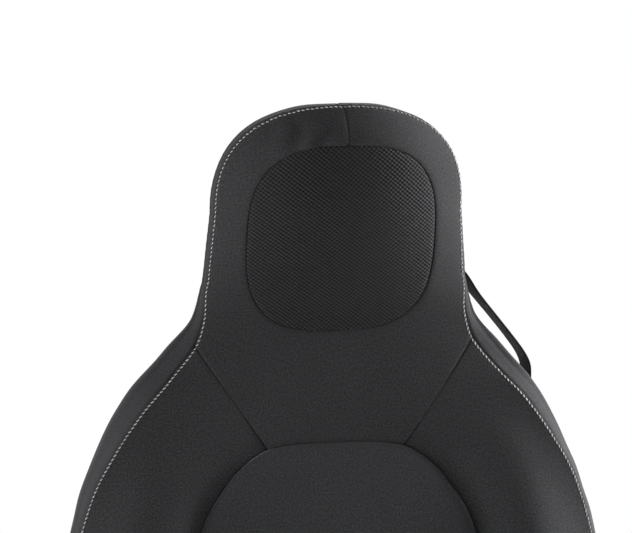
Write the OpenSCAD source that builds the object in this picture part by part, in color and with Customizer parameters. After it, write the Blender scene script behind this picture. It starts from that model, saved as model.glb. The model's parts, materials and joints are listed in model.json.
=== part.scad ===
// Sports seat with a built-in head restraint, on slide rails.
// The seat faces -Y. The origin is the centre of the floor bolts, on the floor plane.

/* [Backrest] */
// Height of the backrest, from the recliner axis to the top of the head
back_h = 830; // [820:5:850]
// Lean of the backrest behind vertical, in degrees
lean = 10; // [8:1:12]
// Width across the head
head_w = 257; // [251:1:263]
// Height of the arch that closes the head
head_arch = 106; // [101:1:111]
// Width across the neck
neck_w = 271; // [265:1:276]
// Width across the shoulders
shoulder_w = 551; // [538:1:563]
// Width across the lower end of the backrest
waist_w = 476; // [468:1:484]
// How far the top of the head stands forward of the back
head_lead = 84; // [78:1:90]
// Depth of the side cover behind the widest line
back_depth = 70; // [68:1:74]
// Radius of the roll that turns under the backrest
roll_r = 58; // [56:1:59]

/* [Backrest panels] */
// Width of the knitted head panel
insert_w = 193; // [175:1:197]
// Height of the knitted head panel
insert_h = 184; // [165:1:188]
// Top of the knitted head panel, below the top of the head
insert_drop = 45; // [42:1:52]
// Width of the centre panel
centre_w = 300; // [280:1:310]
// Top of the centre panel, below the top of the head
centre_drop = 344; // [336:1:352]
// Where the neck seam leaves the edge seam, below the top of the head
neck_seam_drop = 240; // [232:1:250]

/* [Covers and foam] */
// Thickness of the padded cover panels
cover_t = 8; // [7:0.5:9]
// Thickness of the side covers
side_cover_t = 4; // [3:0.5:5]
// Gap between two cover panels at a seam
seam_gap = 0.8; // [0.6:0.1:1.2]
// Gap between a cover panel and the foam
foam_gap = 0.7; // [0.6:0.1:1]
// Thickness of the rear board
board_t = 3; // [2.5:0.25:3.5]
// How far the rear board bulges
board_dome = 20; // [16:1:24]

/* [Cushion] */
// Width across the cushion
cushion_w = 480; // [470:1:484]
// Front of the cushion, ahead of the origin
cushion_front = 330; // [324:1:340]
// Height of the middle of the cushion
cushion_z = 284; // [280:1:290]
// Height of the side bolsters above the cushion
bolster_h = 36; // [26:1:40]
// Lower edge of the cushion cover at the sides
skirt_z = 214; // [212:1:217]
// Width of the middle panel of the cushion
seat_panel_w = 280; // [260:1:300]
// Height of the seat pan
pan_z = 172; // [168:1:175]
// Thickness of the seat pan
pan_t = 1.5; // [1.2:0.1:2]

/* [Rails] */
// Distance from the middle of the seat to the middle of a rail
rail_x = 186; // [184:0.5:188]
// Length of a lower rail
rail_len = 430; // [420:5:440]
// Width of a lower rail
rail_w = 44; // [42:1:45]
// Height of a lower rail
rail_h = 22; // [21:0.5:24]
// Wall of the rails
rail_wall = 2.5; // [2:0.25:3]
// Width of the slot along a lower rail
rail_slot = 21; // [20.5:0.5:22]
// Length of an upper rail
slider_len = 340; // [330:5:350]
// Width of the part of an upper rail that stands in the slot
slider_w = 18; // [17.5:0.5:19]
// Height of an upper rail above a lower rail
slider_rise = 12; // [11:0.5:15]
// Height of a foot
foot_h = 28; // [26:1:32]
// Thickness of a foot
foot_t = 4; // [3:0.5:5]
// Distance from the end of a rail to its floor bolt
bolt_reach = 25; // [24:1:30]
// Diameter of a floor bolt hole
bolt_hole_d = 9; // [8.5:0.5:11]
// Diameter of the rail bolts and rivets
rail_bolt_d = 6; // [5:0.5:6]

/* [Side frame] */
// Distance from the middle of the seat to the middle of a side plate
side_x = 200; // [199:0.5:201]
// Recliner axis behind the origin
axis_y = 175; // [173:1:178]
// Recliner axis above the floor
axis_z = 235; // [233:1:238]
// Thickness of the side plates
plate_t = 3; // [2.5:0.25:3.5]
// Thickness of each recliner disc
disc_t = 7; // [6:0.5:7.5]
// Radius of the recliner discs
disc_r = 37; // [34:1:39]
// Radius of the release shaft
shaft_r = 6; // [5:0.5:7]
// Running gap between parts that turn or slide
run_gap = 0.3; // [0.25:0.05:0.4]
// Radial clearance of a shaft in its bore
bore_gap = 0.06; // [0.04:0.01:0.09]
// Diameter of the head hoop tube
hoop_d = 20; // [18:1:22]
// Width of the head hoop, between tube centres
hoop_w = 130; // [124:1:136]
// Diameter of the cross tubes
cross_d = 22; // [20:1:24]

/* [Slide bar] */
// Radius of the slide bar
bar_r = 6; // [5:0.5:7]
// Distance from the middle of the seat to an arm of the slide bar
bar_x = 146; // [140:1:148]
// Height of the slide bar
bar_z = 92; // [90:1:96]
// Front of the slide bar, ahead of the origin
bar_front = 300; // [280:5:320]
// Length of the rubber grip
grip_len = 120; // [100:5:140]

/* [Valances and lever] */
// Distance from the middle of the seat to the open side of a valance
valance_x = 204; // [203.5:0.5:206]
// Width of a valance
valance_w = 38; // [37:0.5:40]
// Wall of a valance
valance_t = 2.5; // [2:0.25:3]
// Radius of the valance round the recliner
horn_r = 59; // [56:1:60]
// Gap between the valance and the lever
lever_gap = 4; // [3:0.5:5]
// Thickness of the lever
lever_t = 13; // [12:0.5:15]
// Length of the lever
lever_len = 128; // [110:2:135]

/* [Belt guide] */
// Width of the webbing
strap_w = 25; // [22:1:28]
// Thickness of the webbing
strap_t = 2.4; // [2:0.1:2.8]

/* [Hidden] */

charcoal = [0.2, 0.2, 0.21];
knit_grey = [0.13, 0.13, 0.14];
foam_yellow = [0.85, 0.8, 0.6];
frame_black = [0.12, 0.12, 0.13];
trim_black = [0.09, 0.09, 0.1];
bare_steel = [0.7, 0.7, 0.72];
webbing_black = [0.04, 0.04, 0.045];

// ---- numbers and curves ----

function mix(a, b, k) = a + (b - a) * k;
function seek(p, t, i = 0) = (i + 2 >= len(p) || t < p[i + 1][0]) ? i : seek(p, t, i + 1);
function rate(p, i) = (p[i + 1][1] - p[i][1]) / (p[i + 1][0] - p[i][0]);
// Slope at a knot, which never overshoots
function knot_slope(p, i) =
    i == 0 ? rate(p, 0)
    : i == len(p) - 1 ? rate(p, i - 1)
    : rate(p, i - 1) * rate(p, i) <= 0 ? 0
    : 2 * rate(p, i - 1) * rate(p, i) / (rate(p, i - 1) + rate(p, i));
// Smooth curve through the knots [place, value]
function curve(p, t) =
    t <= p[0][0] ? p[0][1]
    : t >= p[len(p) - 1][0] ? p[len(p) - 1][1]
    : let (i = seek(p, t), h = p[i + 1][0] - p[i][0], k = (t - p[i][0]) / h)
      (1 + 2 * k) * pow(1 - k, 2) * p[i][1] + k * pow(1 - k, 2) * h * knot_slope(p, i)
      + k * k * (3 - 2 * k) * p[i + 1][1] + k * k * (k - 1) * h * knot_slope(p, i + 1);
// Smooth open line through the points p, with n steps from one to the next
function spline_at(p, i, k) =
    let (a = p[max(i - 1, 0)], b = p[i], c = p[i + 1], d = p[min(i + 2, len(p) - 1)])
    0.5 * (2 * b + (c - a) * k + (2 * a - 5 * b + 4 * c - d) * k * k + (3 * b - a - 3 * c + d) * k * k * k);
function spline(p, n) = [
    for (i = [0:len(p) - 2]) for (j = [0:n - 1]) spline_at(p, i, j / n), p[len(p) - 1]
];
function mirrored(p) = [for (i = [len(p) - 1:-1:0]) [-p[i][0], p[i][1]]];
function flat(rows) = [for (row = rows) for (p = row) p];
function quad(a, b, c, d) = [[a, b, c], [a, c, d]];
function unit(v) = v / norm(v);

// Closed solid between an outer and an inner grid of points. From outside, rows run up, columns right.
module thick_sheet(outer, inner) {
    rows = len(outer);
    cols = len(outer[0]);
    far = rows * cols;
    faces = [
        for (r = [0:rows - 2]) for (c = [0:cols - 2]) let (i = r * cols + c)
            each concat(quad(i, i + cols, i + cols + 1, i + 1),
                        quad(far + i, far + i + 1, far + i + cols + 1, far + i + cols)),
        for (r = [0:rows - 2]) let (i = r * cols, j = r * cols + cols - 1)
            each concat(quad(i, far + i, far + i + cols, i + cols),
                        quad(j, j + cols, far + j + cols, far + j)),
        for (c = [0:cols - 2]) let (i = c, j = (rows - 1) * cols + c)
            each concat(quad(i, i + 1, far + i + 1, far + i),
                        quad(j, far + j, far + j + 1, j + 1))
    ];
    polyhedron(points = concat(flat(outer), flat(inner)), faces = faces);
}

// Closed solid through a row of rings, with a fan over each end
module ring_loft(rings) {
    rows = len(rings);
    cols = len(rings[0]);
    ends = [rings[0], rings[rows - 1]];
    centres = [for (e = ends) [for (k = [0:2]) [for (p = e) p[k]] * [for (p = e) 1] / cols]];
    faces = [
        for (r = [0:rows - 2]) for (c = [0:cols - 1])
            let (i = r * cols + c, j = r * cols + (c + 1) % cols)
            each quad(i, i + cols, j + cols, j),
        for (c = [0:cols - 1]) [c, (c + 1) % cols, rows * cols],
        for (c = [0:cols - 1])
            let (last = (rows - 1) * cols) [last + (c + 1) % cols, last + c, rows * cols + 1]
    ];
    polyhedron(points = concat(flat(rings), centres), faces = faces);
}

// ---- placing and extruding ----

module on_side(side) {
    mirror([side < 0 ? 1 : 0, 0, 0])
        children();
}
module both_sides() {
    for (side = [-1, 1])
        on_side(side)
            children();
}
// Lays a child that stands on Z along X, from x
module along_x(x = 0) {
    translate([x, 0, 0])
        rotate([0, 90, 0])
            children();
}
module tube_x(d, half, wall) {
    along_x(-half)
        difference() {
            cylinder(d = d, h = 2 * half, $fn = 48);
            translate([0, 0, -1])
                cylinder(d = d - 2 * wall, h = 2 * half + 2, $fn = 48);
        }
}
// Plate from x outwards, drawn as [depth, up]
module plate_x(x, thickness) {
    translate([x, 0, 0])
        rotate([90, 0, 90])
            linear_extrude(thickness)
                children();
}
// Extrudes a child drawn as [across, up] along Y, centred
module along_y(length) {
    translate([0, length / 2, 0])
        rotate([90, 0, 0])
            linear_extrude(length)
                children();
}
module place_back() {
    translate([0, axis_y, axis_z])
        rotate([-lean, 0, 0])
            children();
}
module at_axis() {
    translate([0, axis_y, axis_z])
        children();
}
module shaft_bore() {
    along_x(-side_x - valance_w)
        cylinder(r = shaft_r + bore_gap, h = 2 * (side_x + valance_w), $fn = 48);
}

// ---- where things stand across the seat ----

side_inner_x = side_x - plate_t / 2;
side_outer_x = side_x + plate_t / 2;
disc_base_x = side_inner_x - disc_t;
disc_back_x = disc_base_x - run_gap - disc_t;
member_x = disc_back_x - plate_t;
member_flange = 14;
tongue_x = member_x - 3;
pocket_x = disc_back_x + 1.5;
valance_outer_x = valance_x + valance_w;
lever_x = valance_outer_x + lever_gap;

// ---- the backrest's shape ----
// In its own frame, up from the recliner axis: t is the distance below the top of the head, and w
// the distance forward. Its lines are the widest one, the edge seam and the rear edge.

widest = 0;
seam = 1;
rear = 2;
arch_power = 2.5;
pad_bottom = -40;
wing_bottom = 70;
t_bottom = back_h - pad_bottom;
neck_t = 175;
shoulder_t = 540;
waist_t = 830;
shoulder_form = [
    [neck_t, 0], [210, 0.072], [244, 0.272], [292, 0.569], [340, 0.755], [400, 0.922], [470, 1.02],
    [shoulder_t, 1]
];
waist_form = [[shoulder_t, 0], [600, 0.22], [680, 0.6], [760, 0.9], [waist_t, 1]];
seam_inset = [
    [head_arch, 1], [180, 2.6], [212, 10.2], [245, 26.4], [275, 28.2], [304, 22.4], [340, 15.2],
    [380, 9.2], [431, 6.5], [560, 7.6], [waist_t, 6]
];
rear_inset = [[head_arch, 27], [180, 24], [260, 15], [340, 13], [waist_t, 16]];
line_drop = [0, 3, 16];
lead_form = [[0, 1], [60, 0.89], [120, 0.7], [180, 0.48], [230, 0.32], [300, 0.14], [380, 0.03], [450, 0]];
seam_form = [
    [0, 37], [15, 26], [40, 20], [95, 14], [180, 12], [230, 13], [260, 15], [300, 27], [350, 28], [431, 21],
    [520, 24], [620, 38], [700, 36], [760, 30], [waist_t, 30]
];
middle_form = [
    [0, 38], [44, 66], [90, 66], [137, 55], [180, 41], [227, 25], [270, 25], [345, 30], [431, 34], [520, 36],
    [640, 46], [720, 50], [800, 50]
];
bolster_form = [[300, 0], [431, 18], [520, 30], [600, 40], [640, 36], [700, 14], [745, 0]];
crown_power = 2.4;
bolster_at = 0.76;
bolster_spread = 0.17;

function side_half(line, t) =
    let (half = t < neck_t ? mix(head_w, neck_w, max(0, (t - head_arch) / (neck_t - head_arch))) / 2
                : t < shoulder_t ? mix(neck_w, shoulder_w, curve(shoulder_form, t)) / 2
                : mix(shoulder_w, waist_w, curve(waist_form, t)) / 2)
    half - (line == seam ? curve(seam_inset, t) : line == rear ? curve(rear_inset, t) : 0);
function side_slope(line, t) = (side_half(line, t + 2) - side_half(line, t - 2)) / 4;
// Point [across, up] of a line: u from 0 to 1 runs up the side, from 1 to 2 over the arch to the top
function rim(line, u, inset = 0) =
    u <= 1 ? let (t = mix(t_bottom, head_arch, u))
             [side_half(line, t) - inset * sqrt(1 + pow(side_slope(line, max(t, head_arch + 2)), 2)),
              back_h - t]
    : let (a = side_half(line, head_arch) - inset, b = head_arch - line_drop[line] - inset,
           turn = (u - 1) * 90)
      [a * pow(cos(turn), 2 / arch_power), back_h - head_arch + b * pow(sin(turn), 2 / arch_power)];
function seam_half(t) =
    t >= head_arch ? side_half(seam, t)
    : side_half(seam, head_arch)
      * pow(max(1e-6, 1 - pow((head_arch - t) / (head_arch - line_drop[seam]), arch_power)), 1 / arch_power);
function lead(t) = head_lead * curve(lead_form, t);
// Swell of a side bolster, at the share q of the way from the middle to the edge seam
function bolster_bell(q) =
    exp(-pow((q - bolster_at) / bolster_spread, 2)) - exp(-pow((1 - bolster_at) / bolster_spread, 2)) * q;
function face_w(x, t) =
    let (q = min(1, abs(x) / seam_half(t)))
    lead(t) + mix(curve(middle_form, t), curve(seam_form, t), pow(q, crown_power))
    + curve(bolster_form, t) * bolster_bell(q);
// How far forward the front of the backrest stands. Its lower end turns under on a roll.
function front(x, z) =
    z > roll_r / 2 ? face_w(x, back_h - z)
    : min(face_w(x, back_h - z), sqrt(max(1, roll_r * roll_r - z * z)));
function rear_face(t) = lead(t) - back_depth + 8 * (1 - min(1, t / 300));
function cover_rear(t) = rear_face(t) + board_t + 2 * seam_gap;
function at_w(p, w) = [p[0], -w, p[1]];
// Points [across, up, forward] down the side, from the edge seam to the rear board
function flank(u, inset, sink = 0) =
    let (s = rim(seam, u, inset), o = rim(widest, u, inset), b = rim(rear, u, inset),
         r = rim(seam, u), ws = front(r[0], r[1]) - sink, wo = lead(back_h - rim(widest, u)[1]),
         wb = cover_rear(back_h - rim(rear, u)[1]))
    [at_w(s, ws), at_w(mix(s, o, 0.62), mix(ws, wo, 0.5)), at_w(o, wo),
     at_w(mix(o, b, 0.36), mix(wo, wb, 0.55)), at_w(b, wb)];
// How far out the rear part of the side stands, at the distance w forward
function flank_x(t, w) =
    let (o = [side_half(widest, t), lead(t)], b = [side_half(rear, t), cover_rear(t)],
         m = [mix(o[0], b[0], 0.36), mix(o[1], b[1], 0.55)])
    mix(b[0], m[0], (w - b[1]) / (m[1] - b[1]));

side_steps = 20;
arch_steps = 7;
arch_end = 0.999;
arch_stations = [for (i = [1:arch_steps]) 1 + i / arch_steps * arch_end];
stations = concat([for (i = [0:side_steps]) i / side_steps], arch_stations);
half_columns = [0.12, 0.3, 0.46, 0.58, 0.68, 0.76, 0.84, 0.92, 1];
columns = concat([for (i = [len(half_columns) - 1:-1:0]) -half_columns[i]], half_columns);
function station_t(i) = back_h - rim(seam, stations[max(0, min(len(stations) - 1, i))])[1];
// Stations from one depth below the top of the head to another, with one to spare at each end
function stations_between(t_top, t_low) = [
    for (i = [0:len(stations) - 1])
        if (station_t(i - 1) > t_top && station_t(i + 1) < t_low) stations[i]
];

// Sheet that follows the front of the backrest, cover_t thick, out to a share of its width
module front_sheet(t_top, t_low, share, side) {
    us = stations_between(t_top, t_low);
    qs = [for (q = columns) if (abs(q) <= share && (side == 0 || q * side > 0)) q];
    function row(u, depth) = [
        for (q = qs) let (p = rim(seam, u), x = q * p[0]) [x, -front(x, p[1]) + depth, p[1]]
    ];
    thick_sheet([for (u = us) row(u, 0)], [for (u = us) row(u, cover_t)]);
}

// ---- outlines of the cover panels, as [across, up] ----

function below_top(p) = [for (q = p) [q[0], back_h - q[1]]];
function closed_half(half) = concat(half, mirrored(half));
seam_outline = closed_half([for (u = stations) rim(seam, u, side_cover_t + seam_gap)]);
insert_power = 2.9;
function rounded(v) = sign(v) * pow(abs(v), 2 / insert_power);
insert_outline = [
    for (a = [0:7.5:359])
        [insert_w / 2 * rounded(cos(a)), back_h - insert_drop - insert_h / 2 * (1 - rounded(sin(a)))]
];
centre_outline = closed_half(below_top(spline([
    [centre_w * 0.45, t_bottom + 9], [centre_w * 0.47, 740], [centre_w * 0.49, 620], [centre_w * 0.5, 540],
    [centre_w * 0.492, centre_drop + 126], [centre_w * 0.456, centre_drop + 77],
    [centre_w * 0.385, centre_drop + 42], [centre_w * 0.33, centre_drop + 23],
    [centre_w * 0.245, centre_drop + 6], [centre_w * 0.15, centre_drop], [0, centre_drop - 1]
], 3)));
neck_seam_end = [centre_w * 0.235, back_h - centre_drop - 6];
neck_seam_start = [side_half(seam, neck_seam_drop), back_h - neck_seam_drop];
neck_line = [
    neck_seam_start + [40, 60], neck_seam_start, mix(neck_seam_start, neck_seam_end, 0.5) + [2, 1],
    neck_seam_end
];
head_outline = concat(neck_line, mirrored(neck_line), [[-neck_w, back_h + 20], [neck_w, back_h + 20]]);
body_outline = closed_half([
    [tongue_x, pad_bottom - 10], [tongue_x, wing_bottom], [shoulder_w, wing_bottom], [shoulder_w, back_h + 20]
]);

module cut_cover(t_top, t_low, share, side = 0) {
    place_back()
        intersection() {
            front_sheet(t_top, t_low, share, side);
            along_y(2 * head_w)
                offset(delta = -seam_gap / 2)
                    children();
        }
}
module body_region() {
    intersection() {
        polygon(seam_outline);
        polygon(body_outline);
    }
}

module head_mesh_panel() {
    color(knit_grey)
        cut_cover(insert_drop, insert_drop + insert_h, 0.93)
            polygon(insert_outline);
}
module head_cover() {
    color(charcoal)
        cut_cover(0, centre_drop + 8, 1)
            difference() {
                intersection() {
                    polygon(head_outline);
                    polygon(seam_outline);
                }
                polygon(insert_outline);
                polygon(centre_outline);
            }
}
module centre_panel() {
    color(charcoal)
        cut_cover(centre_drop - 2, t_bottom + 1, 0.7)
            intersection() {
                polygon(centre_outline);
                body_region();
            }
}
module shoulder_cover(side) {
    color(charcoal)
        cut_cover(neck_seam_drop - 4, t_bottom + 1, 1, side)
            difference() {
                intersection() {
                    body_region();
                    on_side(side)
                        translate([0, pad_bottom - 20])
                            square([shoulder_w, 2 * back_h]);
                }
                polygon(head_outline);
                polygon(centre_outline);
            }
}

// Side cover from the edge seam round to the rear board
module side_cover(side) {
    foot_u = (t_bottom - (back_h - wing_bottom)) / (t_bottom - head_arch);
    us = concat([foot_u], [for (u = stations) if (u > foot_u) u]);
    color(charcoal)
        place_back()
            difference() {
                on_side(side)
                    thick_sheet([for (u = us) flank(u, 0)], [for (u = us) flank(u, side_cover_t)]);
                if (side > 0)
                    for (index = stud_knots)
                        stud_at(index)
                            cylinder(r = stud_pin_r + bore_gap, h = 8 * strap_t, center = true, $fn = 24);
            }
}

// ---- foam of the backrest ----

function core_ring(u) =
    let (inset = side_cover_t + 2 * foam_gap, skin = cover_t + 2 * foam_gap,
         r = rim(seam, u), s = rim(seam, u, inset),
         face = [
             for (q = half_columns) let (x = min(q * r[0], s[0])) [x, -front(x, s[1]) + skin, s[1]]
         ],
         side = flank(u, inset, skin), b = side[4],
         half = concat(face, [for (i = [1:4]) side[i]], [[b[0] * 0.5, b[1], b[2]]]))
    concat(half, [for (i = [len(half) - 1:-1:0]) [-half[i][0], half[i][1], half[i][2]]]);

module back_foam() {
    color(foam_yellow)
        place_back()
            difference() {
                ring_loft([for (u = stations) core_ring(u)]);
                wing_cut();
                frame_pocket();
                along_x(-shoulder_w / 2)
                    cylinder(r = shaft_r + 8, h = shoulder_w, $fn = 32);
            }
}
// What is left out beside the tongue that reaches down between the recliners
module wing_cut() {
    both_sides()
        translate([tongue_x, -back_h / 2, pad_bottom - back_h])
            cube([shoulder_w, back_h, back_h + wing_bottom - pad_bottom]);
}
// Room for the frame, open to the rear
module frame_pocket() {
    translate([-pocket_x, frame_front - run_gap, 2 * pad_bottom])
        cube([2 * pocket_x, 4 * back_depth, member_top + 2 - 2 * pad_bottom]);
    place_hoop()
        translate([-hoop_w / 2 - hoop_d, -hoop_d / 2 - head_plate_t - foam_gap, -hoop_d])
            cube([hoop_w + 2 * hoop_d, 2 * back_depth, hoop_h + 2 * hoop_d]);
}

// ---- frame of the backrest ----

frame_front = 28;
frame_rear = 68;
tube_wall = 2;
upper_tube_drop = 305;
upper_tube_z = back_h - upper_tube_drop;
upper_tube_y = 42.5;
lower_tube_z = 117;
lower_tube_y = 52;
member_top = upper_tube_z + 13;
hoop_tilt = 22;
hoop_h = 232;
hoop_bend = 40;
head_plate_t = 4;
head_plate_h = 170;
plate_hole_d = 26;
plate_hole_pitch = 46;
mat_r = 1.5;
mat_low = 150;
mat_pitch = 52;
mat_wires = 7;

module place_hoop() {
    translate([0, upper_tube_y, upper_tube_z])
        rotate([hoop_tilt, 0, 0])
            children();
}
module back_side(side) {
    flange_start = 125;
    taper_low = member_top - 110;
    color(frame_black)
        place_back()
            on_side(side)
                difference() {
                    union() {
                        plate_x(member_x, plate_t)
                            polygon([
                                [-30, -26], [30, -26], [42, 0], [frame_rear, 110], [frame_rear, taper_low],
                                [frame_rear - 16, member_top], [frame_front, member_top],
                                [frame_front, wing_bottom - 3], [-34, 10]
                            ]);
                        translate([member_x - member_flange, frame_front, flange_start])
                            cube([member_flange, plate_t, member_top - flange_start]);
                        translate([member_x - member_flange, frame_rear - plate_t, flange_start])
                            cube([member_flange, plate_t, taper_low - flange_start]);
                    }
                    shaft_bore();
                    for (z = screw_z)
                        translate([screw_x, frame_rear - plate_t - 1, z])
                            rotate([-90, 0, 0])
                                cylinder(r = screw_r + bore_gap, h = plate_t + 2, $fn = 32);
                }
}
module recliner_back(side) {
    color([0.72, 0.66, 0.4])
        place_back()
            on_side(side)
                difference() {
                    along_x(disc_back_x)
                        cylinder(r = disc_r - 2, h = disc_t, $fn = 64);
                    shaft_bore();
                }
}
module lower_cross_tube() {
    color(frame_black)
        place_back()
            translate([0, lower_tube_y, lower_tube_z])
                tube_x(cross_d, member_x, tube_wall);
}
module upper_cross_tube() {
    color(frame_black)
        place_back()
            translate([0, upper_tube_y, upper_tube_z])
                tube_x(cross_d, member_x, tube_wall);
}
module head_hoop() {
    color(frame_black)
        place_back()
            difference() {
                place_hoop() {
                    both_sides() {
                        translate([hoop_w / 2, 0, 0])
                            cylinder(d = hoop_d, h = hoop_h - hoop_bend, $fn = 48);
                        translate([hoop_w / 2 - hoop_bend, 0, hoop_h - hoop_bend])
                            rotate([90, 0, 0])
                                rotate_extrude(angle = 90, $fn = 64)
                                    translate([hoop_bend, 0])
                                        circle(d = hoop_d, $fn = 48);
                    }
                    translate([0, 0, hoop_h])
                        along_x(-hoop_w / 2 + hoop_bend)
                            cylinder(d = hoop_d, h = hoop_w - 2 * hoop_bend, $fn = 48);
                }
                translate([0, upper_tube_y, upper_tube_z])
                    along_x(-hoop_w)
                        cylinder(d = cross_d, h = 2 * hoop_w, $fn = 48);
            }
}
module head_plate() {
    color(frame_black)
        place_back()
            place_hoop()
                difference() {
                    translate([-hoop_w / 2 - 4, -hoop_d / 2 - head_plate_t, hoop_h - head_plate_h])
                        cube([hoop_w + 8, head_plate_t, head_plate_h]);
                    for (i = [0:2])
                        translate([0, 0, hoop_h - head_plate_h / 2 + (i - 1) * plate_hole_pitch])
                            rotate([90, 0, 0])
                                cylinder(d = plate_hole_d, h = 2 * hoop_d, $fn = 32);
                }
}
module spring_mat() {
    wire_half = member_x - member_flange;
    mat_h = (mat_wires - 1) * mat_pitch;
    color(bare_steel)
        place_back()
            translate([0, frame_front + mat_r, mat_low]) {
                for (i = [0:mat_wires - 1])
                    translate([0, 0, i * mat_pitch])
                        along_x(-wire_half)
                            cylinder(r = mat_r, h = 2 * wire_half, $fn = 16);
                for (x = [-95, 0, 95])
                    translate([x, 0, -8])
                        cylinder(r = mat_r, h = mat_h + 16, $fn = 16);
            }
}

// ---- rear board and its screws ----

screw_r = 2.5;
screw_head_r = 5.5;
screw_seat = 1.4;
screw_x = member_x - member_flange / 2;
screw_z = [150, 400];
boss_r = 7;
board_columns = [-1, -0.85, -0.65, -0.35, 0, 0.35, 0.65, 0.85, 1];
// How far back the outside of the board stands, at the share q of the way to its edge
function board_back(q, t) =
    -rear_face(t)
    + board_dome * (1 - pow(abs(q), 3)) * sqrt(min(1, max(0, (t - line_drop[rear]) / head_arch)));
function screw_back(z) = board_back(screw_x / side_half(rear, back_h - z), back_h - z) - screw_seat;
module board_sheet() {
    us = concat([for (i = [0:2:side_steps]) i / side_steps], arch_stations);
    function row(u, depth) = [
        for (q = board_columns) let (p = rim(rear, u)) [q * p[0], board_back(q, back_h - p[1]) - depth, p[1]]
    ];
    thick_sheet([for (u = us) row(u, board_t)], [for (u = us) row(u, 0)]);
}
// Stands a child on the screws' axes, pointing back
module back_board() {
    color(trim_black)
        place_back()
            difference() {
                union() {
                    board_sheet();
                    both_sides()
                        for (z = screw_z)
                            translate([screw_x, frame_rear, z])
                                rotate([-90, 0, 0])
                                    cylinder(r = boss_r, h = screw_back(z) - frame_rear, $fn = 48);
                }
                wing_cut();
                both_sides()
                    for (z = screw_z)
                        translate([screw_x, screw_back(z), z])
                            rotate([-90, 0, 0]) {
                                cylinder(r = screw_head_r + run_gap, h = 3 * screw_seat, $fn = 48);
                                translate([0, 0, -8 * board_t])
                                    cylinder(r = screw_r + run_gap, h = 9 * board_t, $fn = 32);
                            }
            }
}
module board_screws() {
    low = frame_rear - plate_t - 3;
    color(trim_black)
        place_back()
            both_sides()
                for (z = screw_z)
                    translate([screw_x, 0, z])
                        rotate([-90, 0, 0]) {
                            translate([0, 0, screw_back(z)])
                                cylinder(r = screw_head_r, h = screw_seat + 1, $fn = 48);
                            translate([0, 0, low])
                                cylinder(r = screw_r, h = screw_back(z) - low, $fn = 32);
                        }
}

// ---- belt guide ----

// How far the middle of the webbing stands off the side cover, measured across
strap_off = strap_t / 2 + 0.9;
// Free webbing, as [share of the way from head to shoulder, forward, below the top, turn]
strap_bow = [
    [0.106, 7, 163, 24], [0.237, 9, 175, 18], [0.404, 4, 196, 9], [0.603, -5, 217.5, 6], [0.791, -14, 238, 6],
    [0.948, -21, 257, 8], [1.022, -26, 271, 12], [1.03, -29, 285, 15]
];
// Webbing held against the side, as [below the top, forward, turn, extra way off the cover]
strap_top = [[124, 8, 30, 0], [137, 6, 30, 0], [150, 5, 29, 0.3]];
strap_low = [[298, -31, 18, 0.4], [308, -32, 18, 0], [320, -33, 18, 0]];
function strap_held(k) = [flank_x(k[0], k[1]) + strap_off + k[3], k[1], back_h - k[0], k[2]];
// Middle of the webbing: across, forward, up, and the turn of its face towards the rear
strap_path = concat(
    [for (k = strap_top) strap_held(k)],
    [for (k = strap_bow) [mix(flank_x(150, 5), flank_x(298, -31), k[0]), k[1], back_h - k[2], k[3]]],
    [for (k = strap_low) strap_held(k)]
);
stud_knots = [1, len(strap_path) - 2];
stud_r = 6;
stud_pin_r = 2;
stud_grip = 4.2;
function strap_width_way(turn) = [sin(turn), -cos(turn), 0];
function strap_along(line, i) =
    let (a = line[max(0, i - 1)], b = line[min(len(line) - 1, i + 1)])
    [b[0] - a[0], a[1] - b[1], b[2] - a[2]];
function strap_face(line, i) = unit(cross(strap_width_way(line[i][3]), strap_along(line, i)));
function strap_edge(line, i, across, out) =
    let (p = line[i])
    [p[0], -p[1], p[2]]
    + strap_width_way(p[3]) * across * strap_w / 2 + strap_face(line, i) * out * strap_t / 2;
module stud_at(index) {
    p = strap_path[index];
    face = strap_face(strap_path, index);
    translate([p[0], -p[1], p[2]])
        rotate([0, acos(face[2]), atan2(face[1], face[0])])
            children();
}
module belt_guide_strap() {
    line = spline(strap_path, 2);
    ids = [0:len(line) - 1];
    color(webbing_black)
        place_back()
            difference() {
                thick_sheet([for (i = ids) [strap_edge(line, i, -1, 1), strap_edge(line, i, 1, 1)]],
                            [for (i = ids) [strap_edge(line, i, -1, -1), strap_edge(line, i, 1, -1)]]);
                for (index = stud_knots)
                    stud_at(index)
                        cylinder(r = stud_pin_r + bore_gap, h = 4 * strap_t, center = true, $fn = 24);
            }
}
module stud() {
    translate([0, 0, strap_t / 2 + 0.1])
        cylinder(r = stud_r, h = 1.8, $fn = 32);
    translate([0, 0, -strap_t / 2 - stud_grip])
        cylinder(r = stud_pin_r, h = strap_t + stud_grip + 0.1, $fn = 24);
}
module strap_anchor() {
    color(trim_black)
        place_back()
            stud_at(stud_knots[0])
                stud();
}
module strap_stud() {
    color(trim_black)
        place_back()
            stud_at(stud_knots[1])
                stud();
}

// ---- cushion ----

cushion_rear = axis_y - roll_r - 4;
front_y = -cushion_front;
corner_r = 80;
corner_power = 3.4;
cushion_d = 443;
seat_form = [
    [0, -48], [12, -16], [30, 2], [60, 18], [110, 24], [210, 12], [330, 0], [380, -6], [410, -18], [430, -36],
    [cushion_d, -52]
];
seat_bolster_form = [
    [0, 0], [40, 0.35], [100, 0.85], [210, 1], [330, 0.85], [390, 0.45], [430, 0.1], [cushion_d, 0]
];
seat_waist = [[0, 4], [70, 4], [230, 0], [330, 2], [cushion_d, 12]];
hem_form = [[0, 1], [40, 0.9], [75, 0.15], [92, 0]];
edge_roll = 14;
edge_roll_power = 8;

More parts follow.
